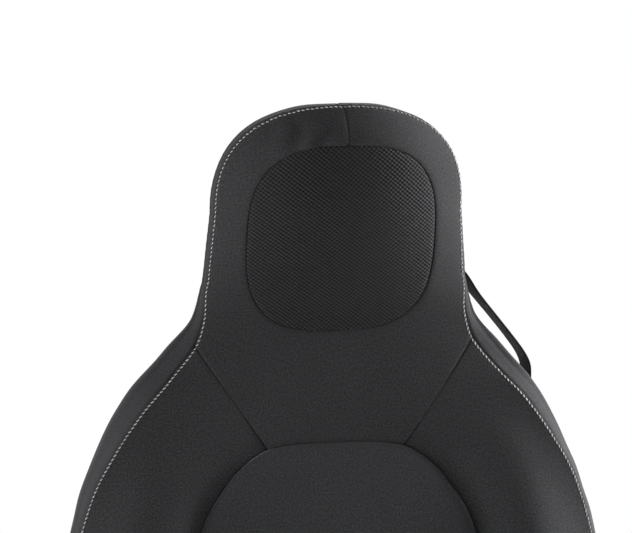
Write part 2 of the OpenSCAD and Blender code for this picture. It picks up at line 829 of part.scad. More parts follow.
function from_front(y) = (y - front_y) * cushion_d / (cushion_rear - front_y);
function seat_half(y) =
    y > front_y + corner_r ? cushion_w / 2 - curve(seat_waist, from_front(y))
    : (cushion_w / 2 - seat_waist[0][1])
      * pow(max(1e-6, 1 - pow((front_y + corner_r - y) / corner_r, corner_power)), 1 / corner_power);
function seat_top(x, y) =
    let (d = from_front(y), q = min(1, abs(x) / seat_half(y)))
    cushion_z + curve(seat_form, d) + 1.1 * bolster_h * curve(seat_bolster_form, d) * bolster_bell(q)
    - edge_roll * pow(q, edge_roll_power);
// Lower edge of the cover, which comes down over the pan at the front
function hem(y) = mix(skirt_z, pan_z + pan_t + 4, curve(hem_form, from_front(y)));
// Outline of the cushion: 0 to 1 runs forward along the side, 1 to 2 round the front corner
function seat_rim(u, inset = 0) =
    u <= 1 ? let (y = mix(cushion_rear - inset, front_y + corner_r, u)) [seat_half(y) - inset, y]
    : let (a = cushion_w / 2 - seat_waist[0][1] - inset, b = corner_r - inset, turn = (u - 1) * 90)
      [a * pow(cos(turn), 2 / corner_power), front_y + corner_r - b * pow(sin(turn), 2 / corner_power)];
seat_stations = concat(
    [0, 0.04, 0.09], [for (i = [1.5:7]) i / 7], [1], [for (i = [1:5]) 1 + i / 5 * arch_end]
);
seat_half_columns = [0.2, 0.45, 0.6, 0.7, 0.8, 0.88, 0.95, 1];
seat_columns = concat([for (i = [len(seat_half_columns) - 1:-1:0]) -seat_half_columns[i]], seat_half_columns);

module seat_sheet(share, side) {
    qs = [for (q = seat_columns) if (abs(q) <= share && (side == 0 || q * side > 0.3)) q];
    function row(u, depth) = [
        for (q = qs) let (p = seat_rim(u), x = q * p[0]) [x, p[1], seat_top(x, p[1]) - depth]
    ];
    thick_sheet([for (u = seat_stations) row(u, cover_t)], [for (u = seat_stations) row(u, 0)]);
}
seat_outline = closed_half([for (u = seat_stations) seat_rim(u, side_cover_t + seam_gap)]);
seat_panel_outline = closed_half(spline([
    [seat_panel_w * 0.46, cushion_rear + 20], [seat_panel_w * 0.47, 40], [seat_panel_w * 0.5, -60],
    [seat_panel_w * 0.5, -180], [seat_panel_w * 0.49, -240], [seat_panel_w * 0.47, front_y - 20]
], 4));

module cut_seat(share, side = 0) {
    color(charcoal)
        intersection() {
            seat_sheet(share, side);
            linear_extrude(2 * cushion_z)
                offset(delta = -seam_gap / 2)
                    children();
        }
}
module seat_centre_panel() {
    cut_seat(0.75)
        intersection() {
            polygon(seat_outline);
            polygon(seat_panel_outline);
        }
}
module seat_bolster(side) {
    cut_seat(1, side)
        difference() {
            intersection() {
                polygon(seat_outline);
                on_side(side)
                    translate([0, front_y])
                        square(2 * cushion_front);
            }
            polygon(seat_panel_outline);
        }
}
module seat_skirt() {
    last = len(seat_stations) - 1;
    ends = concat([for (u = seat_stations) [1, u]], [for (i = [last:-1:0]) [-1, seat_stations[i]]]);
    function profile(side, u, inset) =
        let (p = seat_rim(u, inset), r = seat_rim(u), x = side * p[0],
             low = hem(r[1]), high = seat_top(r[0], r[1]))
        [[x, p[1], low], [x * 1.005, p[1], mix(low, high, 0.5)], [x, p[1], high]];
    color(charcoal)
        thick_sheet([for (e = ends) profile(e[0], e[1], 0)],
                    [for (e = ends) profile(e[0], e[1], side_cover_t)]);
}
module seat_foam() {
    skin = cover_t + 4 * foam_gap;
    inset = side_cover_t + foam_gap;
    function ring(u) =
        let (p = seat_rim(u, inset), r = seat_rim(u), low = hem(r[1]) + 2,
             top = [
                 for (q = seat_half_columns)
                     let (x = min(q * r[0], p[0])) [x, p[1], seat_top(x, r[1]) - skin]
             ],
             base = [[p[0], p[1], low], [p[0] * 0.8, p[1], low], [p[0] * 0.5, p[1], low]],
             half = concat(top, base))
        concat(half, [for (i = [len(half) - 1:-1:0]) [-half[i][0], half[i][1], half[i][2]]]);
    color(foam_yellow)
        difference() {
            union() {
                ring_loft([for (i = [len(seat_stations) - 1:-1:0]) ring(seat_stations[i])]);
                translate([-pan_half + 2, front_y + 50, pan_z + pan_t + run_gap])
                    cube([2 * pan_half - 4, cushion_rear - front_y - 56, 50]);
            }
            at_axis()
                along_x(-cushion_w)
                    cylinder(r = roll_r + 5, h = 2 * cushion_w, $fn = 64);
        }
}

// ---- seat base ----

pan_half = side_inner_x - 1;
front_tube_y = -185;
rear_tube_y = 66;
tube_z = pan_z - cross_d / 2;
rail_top = foot_h + rail_h;
slider_top = rail_top + slider_rise;
slider_flange = rail_w / 2 - rail_wall - 3.5;
slider_low = foot_h + rail_wall + 5.5;
rail_inner = rail_w / 2 - rail_wall;
glide_y = 95;
glide_len = 30;
slider_bolt_y = [-120, 120];
slider_plate = 300;
rail_bore_d = rail_bolt_d + 2 * bore_gap;
bolt_y = rail_len / 2 + bolt_reach;
rivet_y = rail_len / 2 - 15;
nut_r = 5.7;
nut_h = 5;
rivet_head_h = 2.5;
latch_pitch = 12;
latch_tooth = 6;
latch_low = foot_h + 8;
latch_start = 28;
bar_pivot_y = -110;
slot_start = bar_pivot_y + latch_start;

module rail_lower(side) {
    color([0.35, 0.35, 0.37])
        on_side(side)
            translate([rail_x, 0, 0])
                difference() {
                    along_y(rail_len)
                        translate([0, foot_h])
                            difference() {
                                translate([-rail_w / 2, 0])
                                    square([rail_w, rail_h]);
                                translate([-rail_inner, rail_wall])
                                    square([2 * rail_inner, rail_h - 2 * rail_wall]);
                                translate([-rail_slot / 2, rail_h / 2])
                                    square([rail_slot, rail_h]);
                            }
                    for (end = [-1, 1])
                        translate([0, end * rivet_y, foot_h - 1])
                            cylinder(d = rail_bore_d, h = rail_wall + 2, $fn = 32);
                    for (i = [-8:9])
                        translate([-rail_w / 2 - 1, slot_start + i * latch_pitch, latch_low - 1])
                            cube([rail_wall + 2, latch_tooth, 9]);
                }
}
module rail_upper(side) {
    color([0.55, 0.55, 0.57])
        on_side(side)
            translate([rail_x, 0, 0])
                difference() {
                    along_y(slider_len)
                        difference() {
                            union() {
                                translate([-slider_flange, slider_low])
                                    square([2 * slider_flange, rail_wall]);
                                translate([-slider_w / 2, slider_low])
                                    square([slider_w, slider_top - slider_low]);
                            }
                            translate([-slider_w / 2 + rail_wall, slider_low - 1])
                                square([slider_w - 2 * rail_wall, slider_top - rail_wall - slider_low + 1]);
                        }
                    for (y = slider_bolt_y)
                        translate([0, y, slider_top - 2 * rail_wall])
                            cylinder(d = rail_bore_d, h = 4 * rail_wall, $fn = 32);
                }
}
module rail_glides() {
    glide_x = rail_slot / 2 + run_gap;
    glide_h = rail_h - 2 * (rail_wall + run_gap);
    color([0.85, 0.85, 0.82])
        both_sides()
            for (y = [-glide_y, glide_y])
                translate([rail_x, y, 0])
                    both_sides()
                        difference() {
                            translate([glide_x, -glide_len / 2, foot_h + rail_wall + run_gap])
                                cube([rail_inner - run_gap - glide_x, glide_len, glide_h]);
                            translate([0, -glide_len, slider_low])
                                cube([slider_flange, 2 * glide_len, rail_wall]);
                        }
}
module slider_bolts() {
    shank_low = slider_top - rail_wall - nut_h - 2;
    color(bare_steel)
        both_sides()
            for (y = slider_bolt_y)
                translate([rail_x, y, 0]) {
                    translate([0, 0, shank_low])
                        cylinder(d = rail_bolt_d, h = slider_top + plate_t - shank_low, $fn = 32);
                    translate([0, 0, slider_top + plate_t])
                        cylinder(r = nut_r, h = 4, $fn = 6);
                }
}
module slider_nuts() {
    color(bare_steel)
        both_sides()
            for (y = slider_bolt_y)
                translate([rail_x, y, slider_top - rail_wall - nut_h])
                    difference() {
                        cylinder(r = nut_r, h = nut_h, $fn = 6);
                        translate([0, 0, -1])
                            cylinder(d = rail_bore_d, h = nut_h + 2, $fn = 32);
                    }
}
module foot(side, end) {
    tab = 16;
    riser = bolt_reach - 7;
    under = bolt_reach + 30;
    color(frame_black)
        on_side(side)
            translate([rail_x, end * bolt_y, 0])
                mirror([0, end < 0 ? 1 : 0, 0])
                    difference() {
                        plate_x(-rail_w / 2, rail_w)
                            polygon([
                                [tab, 0], [tab, foot_t], [foot_t - riser, foot_t], [foot_t - riser, foot_h],
                                [-under, foot_h], [-under, foot_h - foot_t], [-riser, foot_h - foot_t],
                                [-riser, 0]
                            ]);
                        translate([0, 0, -1])
                            cylinder(d = bolt_hole_d, h = foot_t + 2, $fn = 48);
                        translate([0, rivet_y - bolt_y, foot_h - foot_t - 1])
                            cylinder(d = rail_bore_d, h = foot_t + 2, $fn = 32);
                    }
}
module foot_rivets() {
    color(bare_steel)
        both_sides()
            for (end = [-1, 1])
                translate([rail_x, end * rivet_y, foot_h - foot_t]) {
                    translate([0, 0, -rivet_head_h])
                        cylinder(r = nut_r, h = rivet_head_h, $fn = 32);
                    cylinder(d = rail_bolt_d, h = foot_t + rail_wall, $fn = 32);
                }
}
module base_side(side) {
    flange_x = rail_x - member_flange;
    color(frame_black)
        on_side(side)
            difference() {
                union() {
                    plate_x(side_inner_x, plate_t)
                        difference() {
                            union() {
                                polygon([
                                    [-205, slider_top], [165, slider_top], [190, slider_top + 25],
                                    [axis_y + disc_r + 5, axis_z - 20], [axis_y + disc_r, axis_z + 10],
                                    [axis_y - disc_r, axis_z + 10], [axis_y - 55, skirt_z - 10],
                                    [-150, skirt_z - 20], [-205, skirt_z - 48]
                                ]);
                                translate([axis_y, axis_z])
                                    circle(r = disc_r + 6, $fn = 96);
                            }
                            for (y = [-90, 0, 90])
                                translate([y, (slider_top + pan_z) / 2 + 13])
                                    circle(r = 26, $fn = 64);
                        }
                    translate([flange_x, -slider_plate / 2, slider_top])
                        cube([side_outer_x - flange_x, slider_plate, plate_t]);
                }
                at_axis()
                    shaft_bore();
                for (y = slider_bolt_y)
                    translate([rail_x, y, slider_top - 1])
                        cylinder(d = rail_bore_d, h = plate_t + 2, $fn = 32);
                for (at = valance_screw_at)
                    translate([side_inner_x - 1, at[0], at[1]])
                        along_x()
                            cylinder(r = screw_r + bore_gap, h = plate_t + 2, $fn = 32);
            }
}
module front_cross_tube() {
    color(frame_black)
        translate([0, front_tube_y, tube_z])
            tube_x(cross_d, side_inner_x, tube_wall);
}
module rear_cross_tube() {
    color(frame_black)
        translate([0, rear_tube_y, tube_z])
            tube_x(cross_d, side_inner_x, tube_wall);
}
module seat_pan() {
    color([0.3, 0.3, 0.32])
        difference() {
            translate([-pan_half, front_y + 45, pan_z])
                cube([2 * pan_half, cushion_rear - front_y - 50, pan_t]);
            for (x = [-100, 0, 100])
                for (y = [-200, -60])
                    translate([x, y, pan_z - 1])
                        cylinder(r = 28, h = pan_t + 2, $fn = 48);
        }
}
module recliner_base(side) {
    color([0.72, 0.66, 0.4])
        at_axis()
            on_side(side)
                difference() {
                    along_x(disc_base_x)
                        cylinder(r = disc_r, h = disc_t, $fn = 64);
                    shaft_bore();
                }
}

// ---- slide bar ----

bar_pin_r = 5;
bar_hub_r = 9;
bar_bend = 30;
bar_reach = bar_front + bar_pivot_y;
latch_t = 3;
latch_x = rail_x - rail_w / 2 - 0.5 - latch_t;
latch_outer_x = latch_x + latch_t;
hub_x = bar_x - bar_hub_r;

module at_bar() {
    translate([0, bar_pivot_y, bar_z])
        children();
}
module bar_pivots() {
    color(bare_steel)
        at_bar()
            both_sides() {
                along_x(hub_x - run_gap)
                    cylinder(r = bar_pin_r, h = latch_outer_x - hub_x + 2 * run_gap, $fn = 48);
                along_x(hub_x - run_gap - 2)
                    cylinder(r = bar_hub_r - 1, h = 2, $fn = 48);
                along_x(latch_outer_x + run_gap)
                    cylinder(r = bar_hub_r, h = side_inner_x - latch_outer_x - run_gap, $fn = 48);
            }
}
module slide_bar() {
    color(frame_black)
        at_bar()
            difference() {
                union() {
                    both_sides() {
                        translate([bar_x, 0, 0])
                            rotate([90, 0, 0])
                                cylinder(r = bar_r, h = bar_reach - bar_bend, $fn = 48);
                        translate([bar_x - bar_bend, bar_bend - bar_reach, 0])
                            rotate([0, 0, -90])
                                rotate_extrude(angle = 90, $fn = 64)
                                    translate([bar_bend, 0])
                                        circle(r = bar_r, $fn = 48);
                        along_x(hub_x)
                            cylinder(r = bar_hub_r, h = latch_outer_x - hub_x, $fn = 48);
                    }
                    translate([-bar_x + bar_bend, -bar_reach, 0])
                        along_x()
                            cylinder(r = bar_r, h = 2 * (bar_x - bar_bend), $fn = 48);
                }
                along_x(-side_x)
                    cylinder(r = bar_pin_r + bore_gap, h = 2 * side_x, $fn = 48);
            }
}
module slide_bar_grip() {
    color(trim_black)
        translate([-grip_len / 2, -bar_front, bar_z])
            along_x()
                difference() {
                    cylinder(r = bar_r + 3, h = grip_len, $fn = 48);
                    translate([0, 0, -1])
                        cylinder(r = bar_r, h = grip_len + 2, $fn = 48);
                }
}
// Toothed plates beside the lower rails, which turn with the bar
module slide_latches() {
    comb_low = latch_low - bar_z;
    color(bare_steel)
        at_bar()
            both_sides()
                plate_x(latch_x, latch_t)
                    difference() {
                        union() {
                            circle(r = bar_hub_r + 4, $fn = 64);
                            polygon([
                                [0, -8], [0, 12], [latch_start + 30, -22], [latch_start + 30, comb_low],
                                [latch_start, comb_low]
                            ]);
                        }
                        circle(r = bar_hub_r, $fn = 48);
                        for (i = [0:1])
                            translate([latch_start + latch_tooth + i * latch_pitch, comb_low - 1])
                                square([latch_pitch - latch_tooth, 15]);
                    }
}

// ---- release lever ----

shaft_end = side_x + 10;
lever_socket = 9;
module release_shaft() {
    color(bare_steel)
        at_axis()
            along_x(-shaft_end)
                cylinder(r = shaft_r, h = shaft_end + lever_x + lever_socket, $fn = 48);
}
module recline_lever() {
    elbow = [-lever_len * 0.55, -7];
    color(trim_black)
        at_axis()
            difference() {
                union() {
                    plate_x(lever_x, lever_t) {
                        circle(r = 19, $fn = 64);
                        hull() {
                            circle(r = 14, $fn = 32);
                            translate(elbow)
                                circle(r = 11, $fn = 32);
                        }
                        hull() {
                            translate(elbow)
                                circle(r = 11, $fn = 32);
                            translate([8 - lever_len, -19])
                                circle(r = 8, $fn = 32);
                        }
                    }
                    along_x(lever_x - lever_gap + 1)
                        cylinder(r = 14, h = lever_gap, $fn = 64);
                }
                along_x(lever_x - lever_gap)
                    cylinder(r = shaft_r + bore_gap, h = lever_gap + lever_socket, $fn = 48);
            }
}
module lever_cap() {
    color(frame_black)
        at_axis()
            along_x(lever_x + lever_t)
                cylinder(r = 11, h = 1.5, $fn = 48);
}
module shaft_clip() {
    clip_t = 3;
    color(bare_steel)
        at_axis()
            along_x(-side_outer_x - run_gap - clip_t)
                difference() {
                    cylinder(r = 11, h = clip_t, $fn = 48);
                    translate([0, 0, -1])
                        cylinder(r = shaft_r, h = clip_t + 2, $fn = 48);
                }
}

// ---- valances ----

valance_screw_at = [[-140, 150], [40, 150]];
valance_front = -250;
valance_low = slider_top + 6;
valance_boss_r = 8;
valance_recess = 3;
module valance_shape(inset) {
    corner = 12;
    offset(r = corner, $fn = 48)
        offset(delta = -corner - inset)
            union() {
                translate([axis_y, axis_z])
                    circle(r = horn_r, $fn = 96);
                polygon([
                    [axis_y + horn_r - 1, axis_z], [axis_y + 36, valance_low + 22],
                    [axis_y + 16, valance_low],
                    [valance_front + 26, valance_low], [valance_front, valance_low + 30],
                    [valance_front, skirt_z - 46], [valance_front + 34, skirt_z - 4],
                    [axis_y - horn_r, skirt_z - 4], [axis_y, axis_z + horn_r / 2]
                ]);
            }
}
module valance(side) {
    color(trim_black)
        on_side(side)
            difference() {
                union() {
                    plate_x(valance_x, valance_w)
                        valance_shape(0);
                    for (at = valance_screw_at)
                        translate([side_outer_x, at[0], at[1]])
                            along_x()
                                cylinder(r = valance_boss_r, h = valance_x + 1 - side_outer_x, $fn = 48);
                }
                plate_x(valance_x - 1, valance_w - valance_t + 1)
                    difference() {
                        valance_shape(valance_t);
                        for (at = valance_screw_at)
                            translate(at)
                                circle(r = valance_boss_r, $fn = 48);
                    }
                if (side > 0)
                    at_axis()
                        along_x(valance_x)
                            cylinder(r = shaft_r + 3, h = valance_w + 2, $fn = 48);
                for (at = valance_screw_at)
                    translate([0, at[0], at[1]]) {
                        along_x(side_outer_x - 1)
                            cylinder(r = screw_r + run_gap, h = valance_w + 2, $fn = 32);
                        along_x(valance_outer_x - valance_recess)
                            cylinder(r = screw_head_r + run_gap, h = valance_recess + 1, $fn = 48);
                    }
            }
}
module valance_screws() {
    tip_x = side_inner_x - 2;
    head_x = valance_outer_x - valance_recess;
    color(trim_black)
        both_sides()
            for (at = valance_screw_at)
                translate([0, at[0], at[1]]) {
                    along_x(tip_x)
                        cylinder(r = screw_r, h = head_x - tip_x, $fn = 32);
                    along_x(head_x)
                        cylinder(r = screw_head_r, h = valance_recess - 0.5, $fn = 48);
                }
}

foot(-1, -1);  // foot_front_left
foot(1, -1);  // foot_front_right
foot(-1, 1);  // foot_rear_left
foot(1, 1);  // foot_rear_right
foot_rivets();
rail_lower(-1);  // rail_lower_left
rail_lower(1);  // rail_lower_right
rail_upper(-1);  // rail_upper_left
rail_upper(1);  // rail_upper_right
rail_glides();
slider_bolts();
slider_nuts();
base_side(-1);  // base_side_left
base_side(1);  // base_side_right
front_cross_tube();
rear_cross_tube();
seat_pan();
seat_foam();
seat_centre_panel();
seat_bolster(-1);  // seat_bolster_left
seat_bolster(1);  // seat_bolster_right
seat_skirt();
valance(-1);  // valance_left
valance(1);  // valance_right
valance_screws();
recliner_base(-1);  // recliner_base_left
recliner_base(1);  // recliner_base_right
bar_pivots();
slide_bar();
slide_bar_grip();
slide_latches();
release_shaft();
recline_lever();
lever_cap();
shaft_clip();
recliner_back(-1);  // recliner_back_left
recliner_back(1);  // recliner_back_right
back_side(-1);  // back_side_left
back_side(1);  // back_side_right
lower_cross_tube();
upper_cross_tube();
head_hoop();
head_plate();
spring_mat();
back_foam();
centre_panel();
head_mesh_panel();
head_cover();
shoulder_cover(-1);  // shoulder_cover_left
shoulder_cover(1);  // shoulder_cover_right
side_cover(-1);  // side_cover_left
side_cover(1);  // side_cover_right
back_board();
board_screws();
belt_guide_strap();
strap_anchor();
strap_stud();
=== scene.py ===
"""A sports seat with a built-in head restraint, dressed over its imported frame."""

import json
import math

import bmesh
import bpy
import numpy as np
from mathutils import Matrix, Vector, geometry


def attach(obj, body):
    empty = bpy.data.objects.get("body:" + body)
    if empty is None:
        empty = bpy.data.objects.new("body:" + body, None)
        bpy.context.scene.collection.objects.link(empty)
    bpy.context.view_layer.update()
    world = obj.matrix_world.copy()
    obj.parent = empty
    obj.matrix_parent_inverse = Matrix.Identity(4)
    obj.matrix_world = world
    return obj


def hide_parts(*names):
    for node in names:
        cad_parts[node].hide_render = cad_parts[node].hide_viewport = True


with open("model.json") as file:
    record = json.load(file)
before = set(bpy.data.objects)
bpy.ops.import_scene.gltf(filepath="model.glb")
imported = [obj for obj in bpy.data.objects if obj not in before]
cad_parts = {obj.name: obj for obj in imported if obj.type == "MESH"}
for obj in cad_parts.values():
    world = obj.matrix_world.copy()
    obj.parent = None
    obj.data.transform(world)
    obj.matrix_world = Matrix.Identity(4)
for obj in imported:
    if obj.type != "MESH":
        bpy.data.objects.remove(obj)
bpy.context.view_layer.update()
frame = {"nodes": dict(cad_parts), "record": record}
MM = 0.001
BODIES = frame["record"]["behaviour"]["bodies"]
BODY_OF = {node: body for body, nodes in BODIES.items() for node in nodes}


def linked(name, data):
    """A new object with this data, linked to the scene."""
    made = bpy.data.objects.new(name, data)
    bpy.context.scene.collection.objects.link(made)
    return made


def stands_for(made, node):
    """Puts a visible piece in the place of a CAD node, on the node's body."""
    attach(made, BODY_OF[node])
    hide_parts(node)


# ---------------- camera

TARGET = Vector((0.0, 0.12, 0.875))
AZIMUTH, ELEVATION, ROLL = map(math.radians, (-11.52, 10.56, 0.28))
DISTANCE = 3.5
FOCAL_PX, CENTRE_PX, CENTRE_PY = 3565.6, 358.73, 312.43
WIDE, HIGH = 632, 533
SENSOR = 36.0


def make_camera():
    """The camera fitted to the photograph's outline."""
    away = Vector((
        math.sin(AZIMUTH) * math.cos(ELEVATION),
        -math.cos(AZIMUTH) * math.cos(ELEVATION),
        math.sin(ELEVATION),
    ))
    right = (-away).cross(Vector((0, 0, 1))).normalized()
    up = right.cross(-away)
    side = right * math.cos(ROLL) + up * math.sin(ROLL)
    top = up * math.cos(ROLL) - right * math.sin(ROLL)
    data = bpy.data.cameras.new("camera")
    data.sensor_width = SENSOR
    data.lens = FOCAL_PX * SENSOR / WIDE
    data.shift_x = (WIDE / 2 - CENTRE_PX) / WIDE
    data.shift_y = (CENTRE_PY - HIGH / 2) / WIDE
    data.clip_end = 60
    camera = linked("camera", data)
    turn = Matrix((side, top, away)).transposed().to_4x4()
    camera.matrix_world = Matrix.Translation(TARGET + away * DISTANCE) @ turn
    bpy.context.scene.camera = camera


make_camera()
bpy.context.scene.view_settings.view_transform = "Standard"

# ---------------- materials

SHEEN_TINT = (0.80, 0.81, 0.85, 1)


class Nodes:
    """Short calls that build one node tree."""

    def __init__(self, tree):
        self.tree = tree
        tree.nodes.clear()

    def put(self, made, **sockets):
        """Sets or links input sockets, by name or, as _0 and so on, by number."""
        for key, value in sockets.items():
            by_number = key[1:].isdigit()
            socket = made.inputs[int(key[1:]) if by_number else key.replace("_", " ")]
            if isinstance(value, bpy.types.NodeSocket):
                self.tree.links.new(value, socket)
            else:
                socket.default_value = value

    def add(self, kind, settings=None, **sockets):
        made = self.tree.nodes.new("ShaderNode" + kind)
        for key, value in (settings or {}).items():
            setattr(made, key, value)
        self.put(made, **sockets)
        return made

    def math(self, way, a, b):
        return self.add("Math", {"operation": way}, _0=a, _1=b).outputs[0]

    def plus(self, a, b):
        return self.math("ADD", a, b)

    def times(self, a, b):
        return self.math("MULTIPLY", a, b)


class Shade(Nodes):
    """A material with one principled shader."""

    def __init__(self, name, **sockets):
        self.mat = bpy.data.materials.new(name)
        self.mat.use_nodes = True
        super().__init__(self.mat.node_tree)
        self.bsdf = self.add("BsdfPrincipled", **sockets)
        self.add("OutputMaterial", _0=self.bsdf.outputs[0])

    def look(self, colour, normal, **sockets):
        """Feeds the shader, and gives the finished material."""
        self.put(self.bsdf, Base_Color=colour, Normal=normal, **sockets)
        return self.mat

    def place(self):
        return self.add("TexCoord").outputs["Object"]

    def wave(self, place, pitch):
        """Sine of a place in metres, one turn each pitch."""
        return self.math("SINE", self.times(place, 2 * math.pi / pitch), 0.0)

    def noise(self, scale, detail=2.0, rough=0.55, where=None):
        where = where or self.place()
        return self.add("TexNoise", Vector=where, Scale=scale, Detail=detail, Roughness=rough).outputs[0]

    def ramp(self, value, low, high, a, b):
        return self.add("MapRange", _0=value, _1=low, _2=high, _3=a, _4=b).outputs[0]

    def blend(self, share, a, b):
        return self.add("Mix", {"data_type": "RGBA"}, _0=share, _6=a, _7=b).outputs[2]

    def greys(self, share, low, high):
        return self.blend(share, grey(low), grey(high))

    def bump(self, height, strength, distance, under=None):
        made = self.add("Bump", Strength=strength, Distance=distance, Height=height)
        if under is not None:
            self.put(made, Normal=under)
        return made.outputs[0]

    def across(self):
        """The place on the flat cloth, and its two distances in metres."""
        cloth = self.add("Attribute", {"attribute_name": "cloth"}).outputs["Vector"]
        parts = self.add("SeparateXYZ", _0=cloth)
        return cloth, parts.outputs[0], parts.outputs[1]


def grey(v):
    """A slightly bluish grey."""
    return (v, v, min(1.0, v * 1.06), 1.0)


def cover_cloth(name, low, high, pitch=0.0017, fuzz=0.1):
    """Flat woven cloth with a heathered yarn."""
    s = Shade(name, Roughness=0.88, Specular_IOR_Level=0.25,
              Sheen_Weight=fuzz, Sheen_Roughness=0.34, Sheen_Tint=SHEEN_TINT)
    cloth, a, b = s.across()
    weave = s.times(s.wave(a, pitch), s.wave(b, pitch * 0.8))
    yarn = s.noise(900, 3, 0.7, cloth)
    heather = s.ramp(s.noise(520, 3, 0.7, cloth), 0.38, 0.64, 0, 1)
    share = s.plus(s.times(heather, 0.7), s.times(s.noise(9), 0.3))
    share = s.plus(share, s.times(weave, 0.12))
    fine = s.bump(weave, 0.35, 0.0004)
    return s.look(s.greys(share, low, high), s.bump(yarn, 0.30, 0.0005, fine))


def knit_cloth(name, low, high):
    """Spacer knit: small cells in slanted rows."""
    s = Shade(name, Roughness=0.92, Specular_IOR_Level=0.2,
              Sheen_Weight=0.08, Sheen_Roughness=0.5, Sheen_Tint=SHEEN_TINT)
    cloth, a, b = s.across()
    warp = s.times(s.noise(55, 2, 0.5, cloth), 0.0016)
    fall = s.plus(s.times(a, 0.80), s.plus(b, warp))
    rise = s.math("SUBTRACT", s.times(a, 1.05), b)
    rib = s.plus(s.times(s.wave(fall, 0.0043), 0.60), s.times(s.wave(rise, 0.0049), 0.40))
    yarn = s.noise(1100, 2, 0.6, cloth)
    share = s.times(s.ramp(rib, -0.75, 0.9, 0, 1), s.ramp(yarn, 0.3, 0.7, 0.75, 1.15))
    ribs = s.bump(rib, 0.6, 0.0009)
    return s.look(s.greys(share, low, high), s.bump(yarn, 0.25, 0.0004, ribs))


def webbing_cloth(name, low, high):
    """Tight belt webbing with fine ribs across it."""
    s = Shade(name, Roughness=0.72, Specular_IOR_Level=0.3, Sheen_Weight=0.2)
    _, a, b = s.across()
    rows = s.wave(s.plus(b, s.times(s.wave(a, 0.0052), 0.0004)), 0.0019)
    height = s.plus(s.times(rows, 0.7), s.times(s.wave(a, 0.0026), 0.45))
    return s.look(s.greys(s.ramp(height, -1, 1, 0, 1), low, high), s.bump(height, 0.6, 0.0006))


def thread_cloth(name, shade):
    s = Shade(name, Roughness=0.6, Specular_IOR_Level=0.35, Sheen_Weight=0.2)
    twist = s.noise(1500)
    low, high = (shade * 0.72, shade * 0.71, shade * 0.68, 1), (shade, shade * 0.99, shade * 0.95, 1)
    return s.look(s.blend(twist, low, high), s.bump(twist, 0.3, 0.0004))


def foam_skin(name, shade):
    s = Shade(name, Roughness=0.95, Specular_IOR_Level=0.15)
    felt = s.noise(380, 4, 0.7)
    return s.look(s.greys(felt, shade * 0.55, shade * 1.5), s.bump(felt, 0.5, 0.001))


def grained_plastic(name, shade, rough=0.52):
    """Moulded plastic with a leather-like grain and faint rubbing."""
    s = Shade(name, Specular_IOR_Level=0.45)
    cells = s.add("TexVoronoi", {"feature": "DISTANCE_TO_EDGE"}, Vector=s.place(), Scale=720)
    grain = s.ramp(cells.outputs[0], 0.0, 0.25, 0, 1)
    broad = s.noise(14, 3)
    return s.look(s.greys(broad, shade * 0.8, shade * 1.25), s.bump(grain, 0.28, 0.0003),
                  Roughness=s.ramp(broad, 0.3, 0.7, rough - 0.06, rough + 0.08))


def painted_steel(name, shade):
    """Black paint, worn a little at the edges."""
    s = Shade(name, Specular_IOR_Level=0.5)
    wear = s.noise(40, 4, 0.7)
    edge = s.ramp(s.add("NewGeometry").outputs["Pointiness"], 0.53, 0.60, 0, 1)
    worn = s.times(edge, s.ramp(wear, 0.45, 0.65, 0.0, 0.8))
    return s.look(s.blend(worn, grey(shade), (0.16, 0.155, 0.15, 1)),
                  s.bump(s.noise(260), 0.12, 0.0005), Roughness=s.ramp(wear, 0.3, 0.7, 0.32, 0.5))


def bare_metal(name, colour, rough):
    """Plated sheet steel: faint drawn lines, cloudy plating."""
    s = Shade(name, Metallic=1.0)
    drawn = s.add("Mapping", Vector=s.place(), Scale=(3, 90, 3)).outputs[0]
    lines = s.noise(60, 4, 0.7, drawn)
    cloud = s.noise(55, 3, 0.6)
    dull = s.plus(s.times(lines, 0.5), s.times(cloud, 0.5))
    dark = (*(c * 0.72 for c in colour), 1)
    return s.look(s.blend(cloud, dark, (*colour, 1)), s.bump(lines, 0.08, 0.0004),
                  Roughness=s.ramp(dull, 0.3, 0.7, rough - 0.08, rough + 0.14))


def soft_rubber(name):
    """Black rubber, ribbed across the grip."""
    s = Shade(name, Roughness=0.78, Specular_IOR_Level=0.3)
    ribs = s.wave(s.add("SeparateXYZ", _0=s.place()).outputs[0], 0.004)
    return s.look(s.greys(s.noise(60, 3), 0.012, 0.032), s.bump(ribs, 0.7, 0.0012))


CHARCOAL = cover_cloth("charcoal_cloth", 0.013, 0.056)
CENTRE_CLOTH = cover_cloth("centre_cloth", 0.018, 0.064, 0.0021, 0.5)
# The gusset cloth is the charcoal cloth in a lighter grey: partly its own tone, partly painted light for
# the light that falls on the sides of the backrest and of the cushion.
GUSSET_CLOTH = cover_cloth("gusset_cloth", 0.024, 0.058)
KNIT = knit_cloth("head_knit_cloth", 0.006, 0.040)
THREAD = thread_cloth("pale_thread", 0.70)
WEBBING = webbing_cloth("black_webbing", 0.002, 0.007)
FOAM = foam_skin("dark_foam", 0.03)
PLASTIC = grained_plastic("grained_black_plastic", 0.020)
SMOOTH_PLASTIC = grained_plastic("satin_black_plastic", 0.016, 0.36)
PAINT = painted_steel("black_frame_paint", 0.018)
PHOSPHATE = bare_metal("phosphated_steel", (0.30, 0.30, 0.31), 0.48)
ZINC = bare_metal("zinc_plated_steel", (0.56, 0.57, 0.59), 0.34)
YELLOW_ZINC = bare_metal("yellow_zinc_steel", (0.56, 0.47, 0.24), 0.36)
BRIGHT = bare_metal("bright_steel", (0.66, 0.66, 0.67), 0.26)
ACETAL = grained_plastic("pale_acetal", 0.70, 0.45)
OXIDE = painted_steel("black_oxide", 0.015)
RUBBER = soft_rubber("ribbed_rubber")

# ---------------- the form of the backrest

# Lengths are in millimetres. A backrest point is (across, forward, up) from the recliner's axis,
# and t is a depth below the top. The form is the one that the CAD source computes.

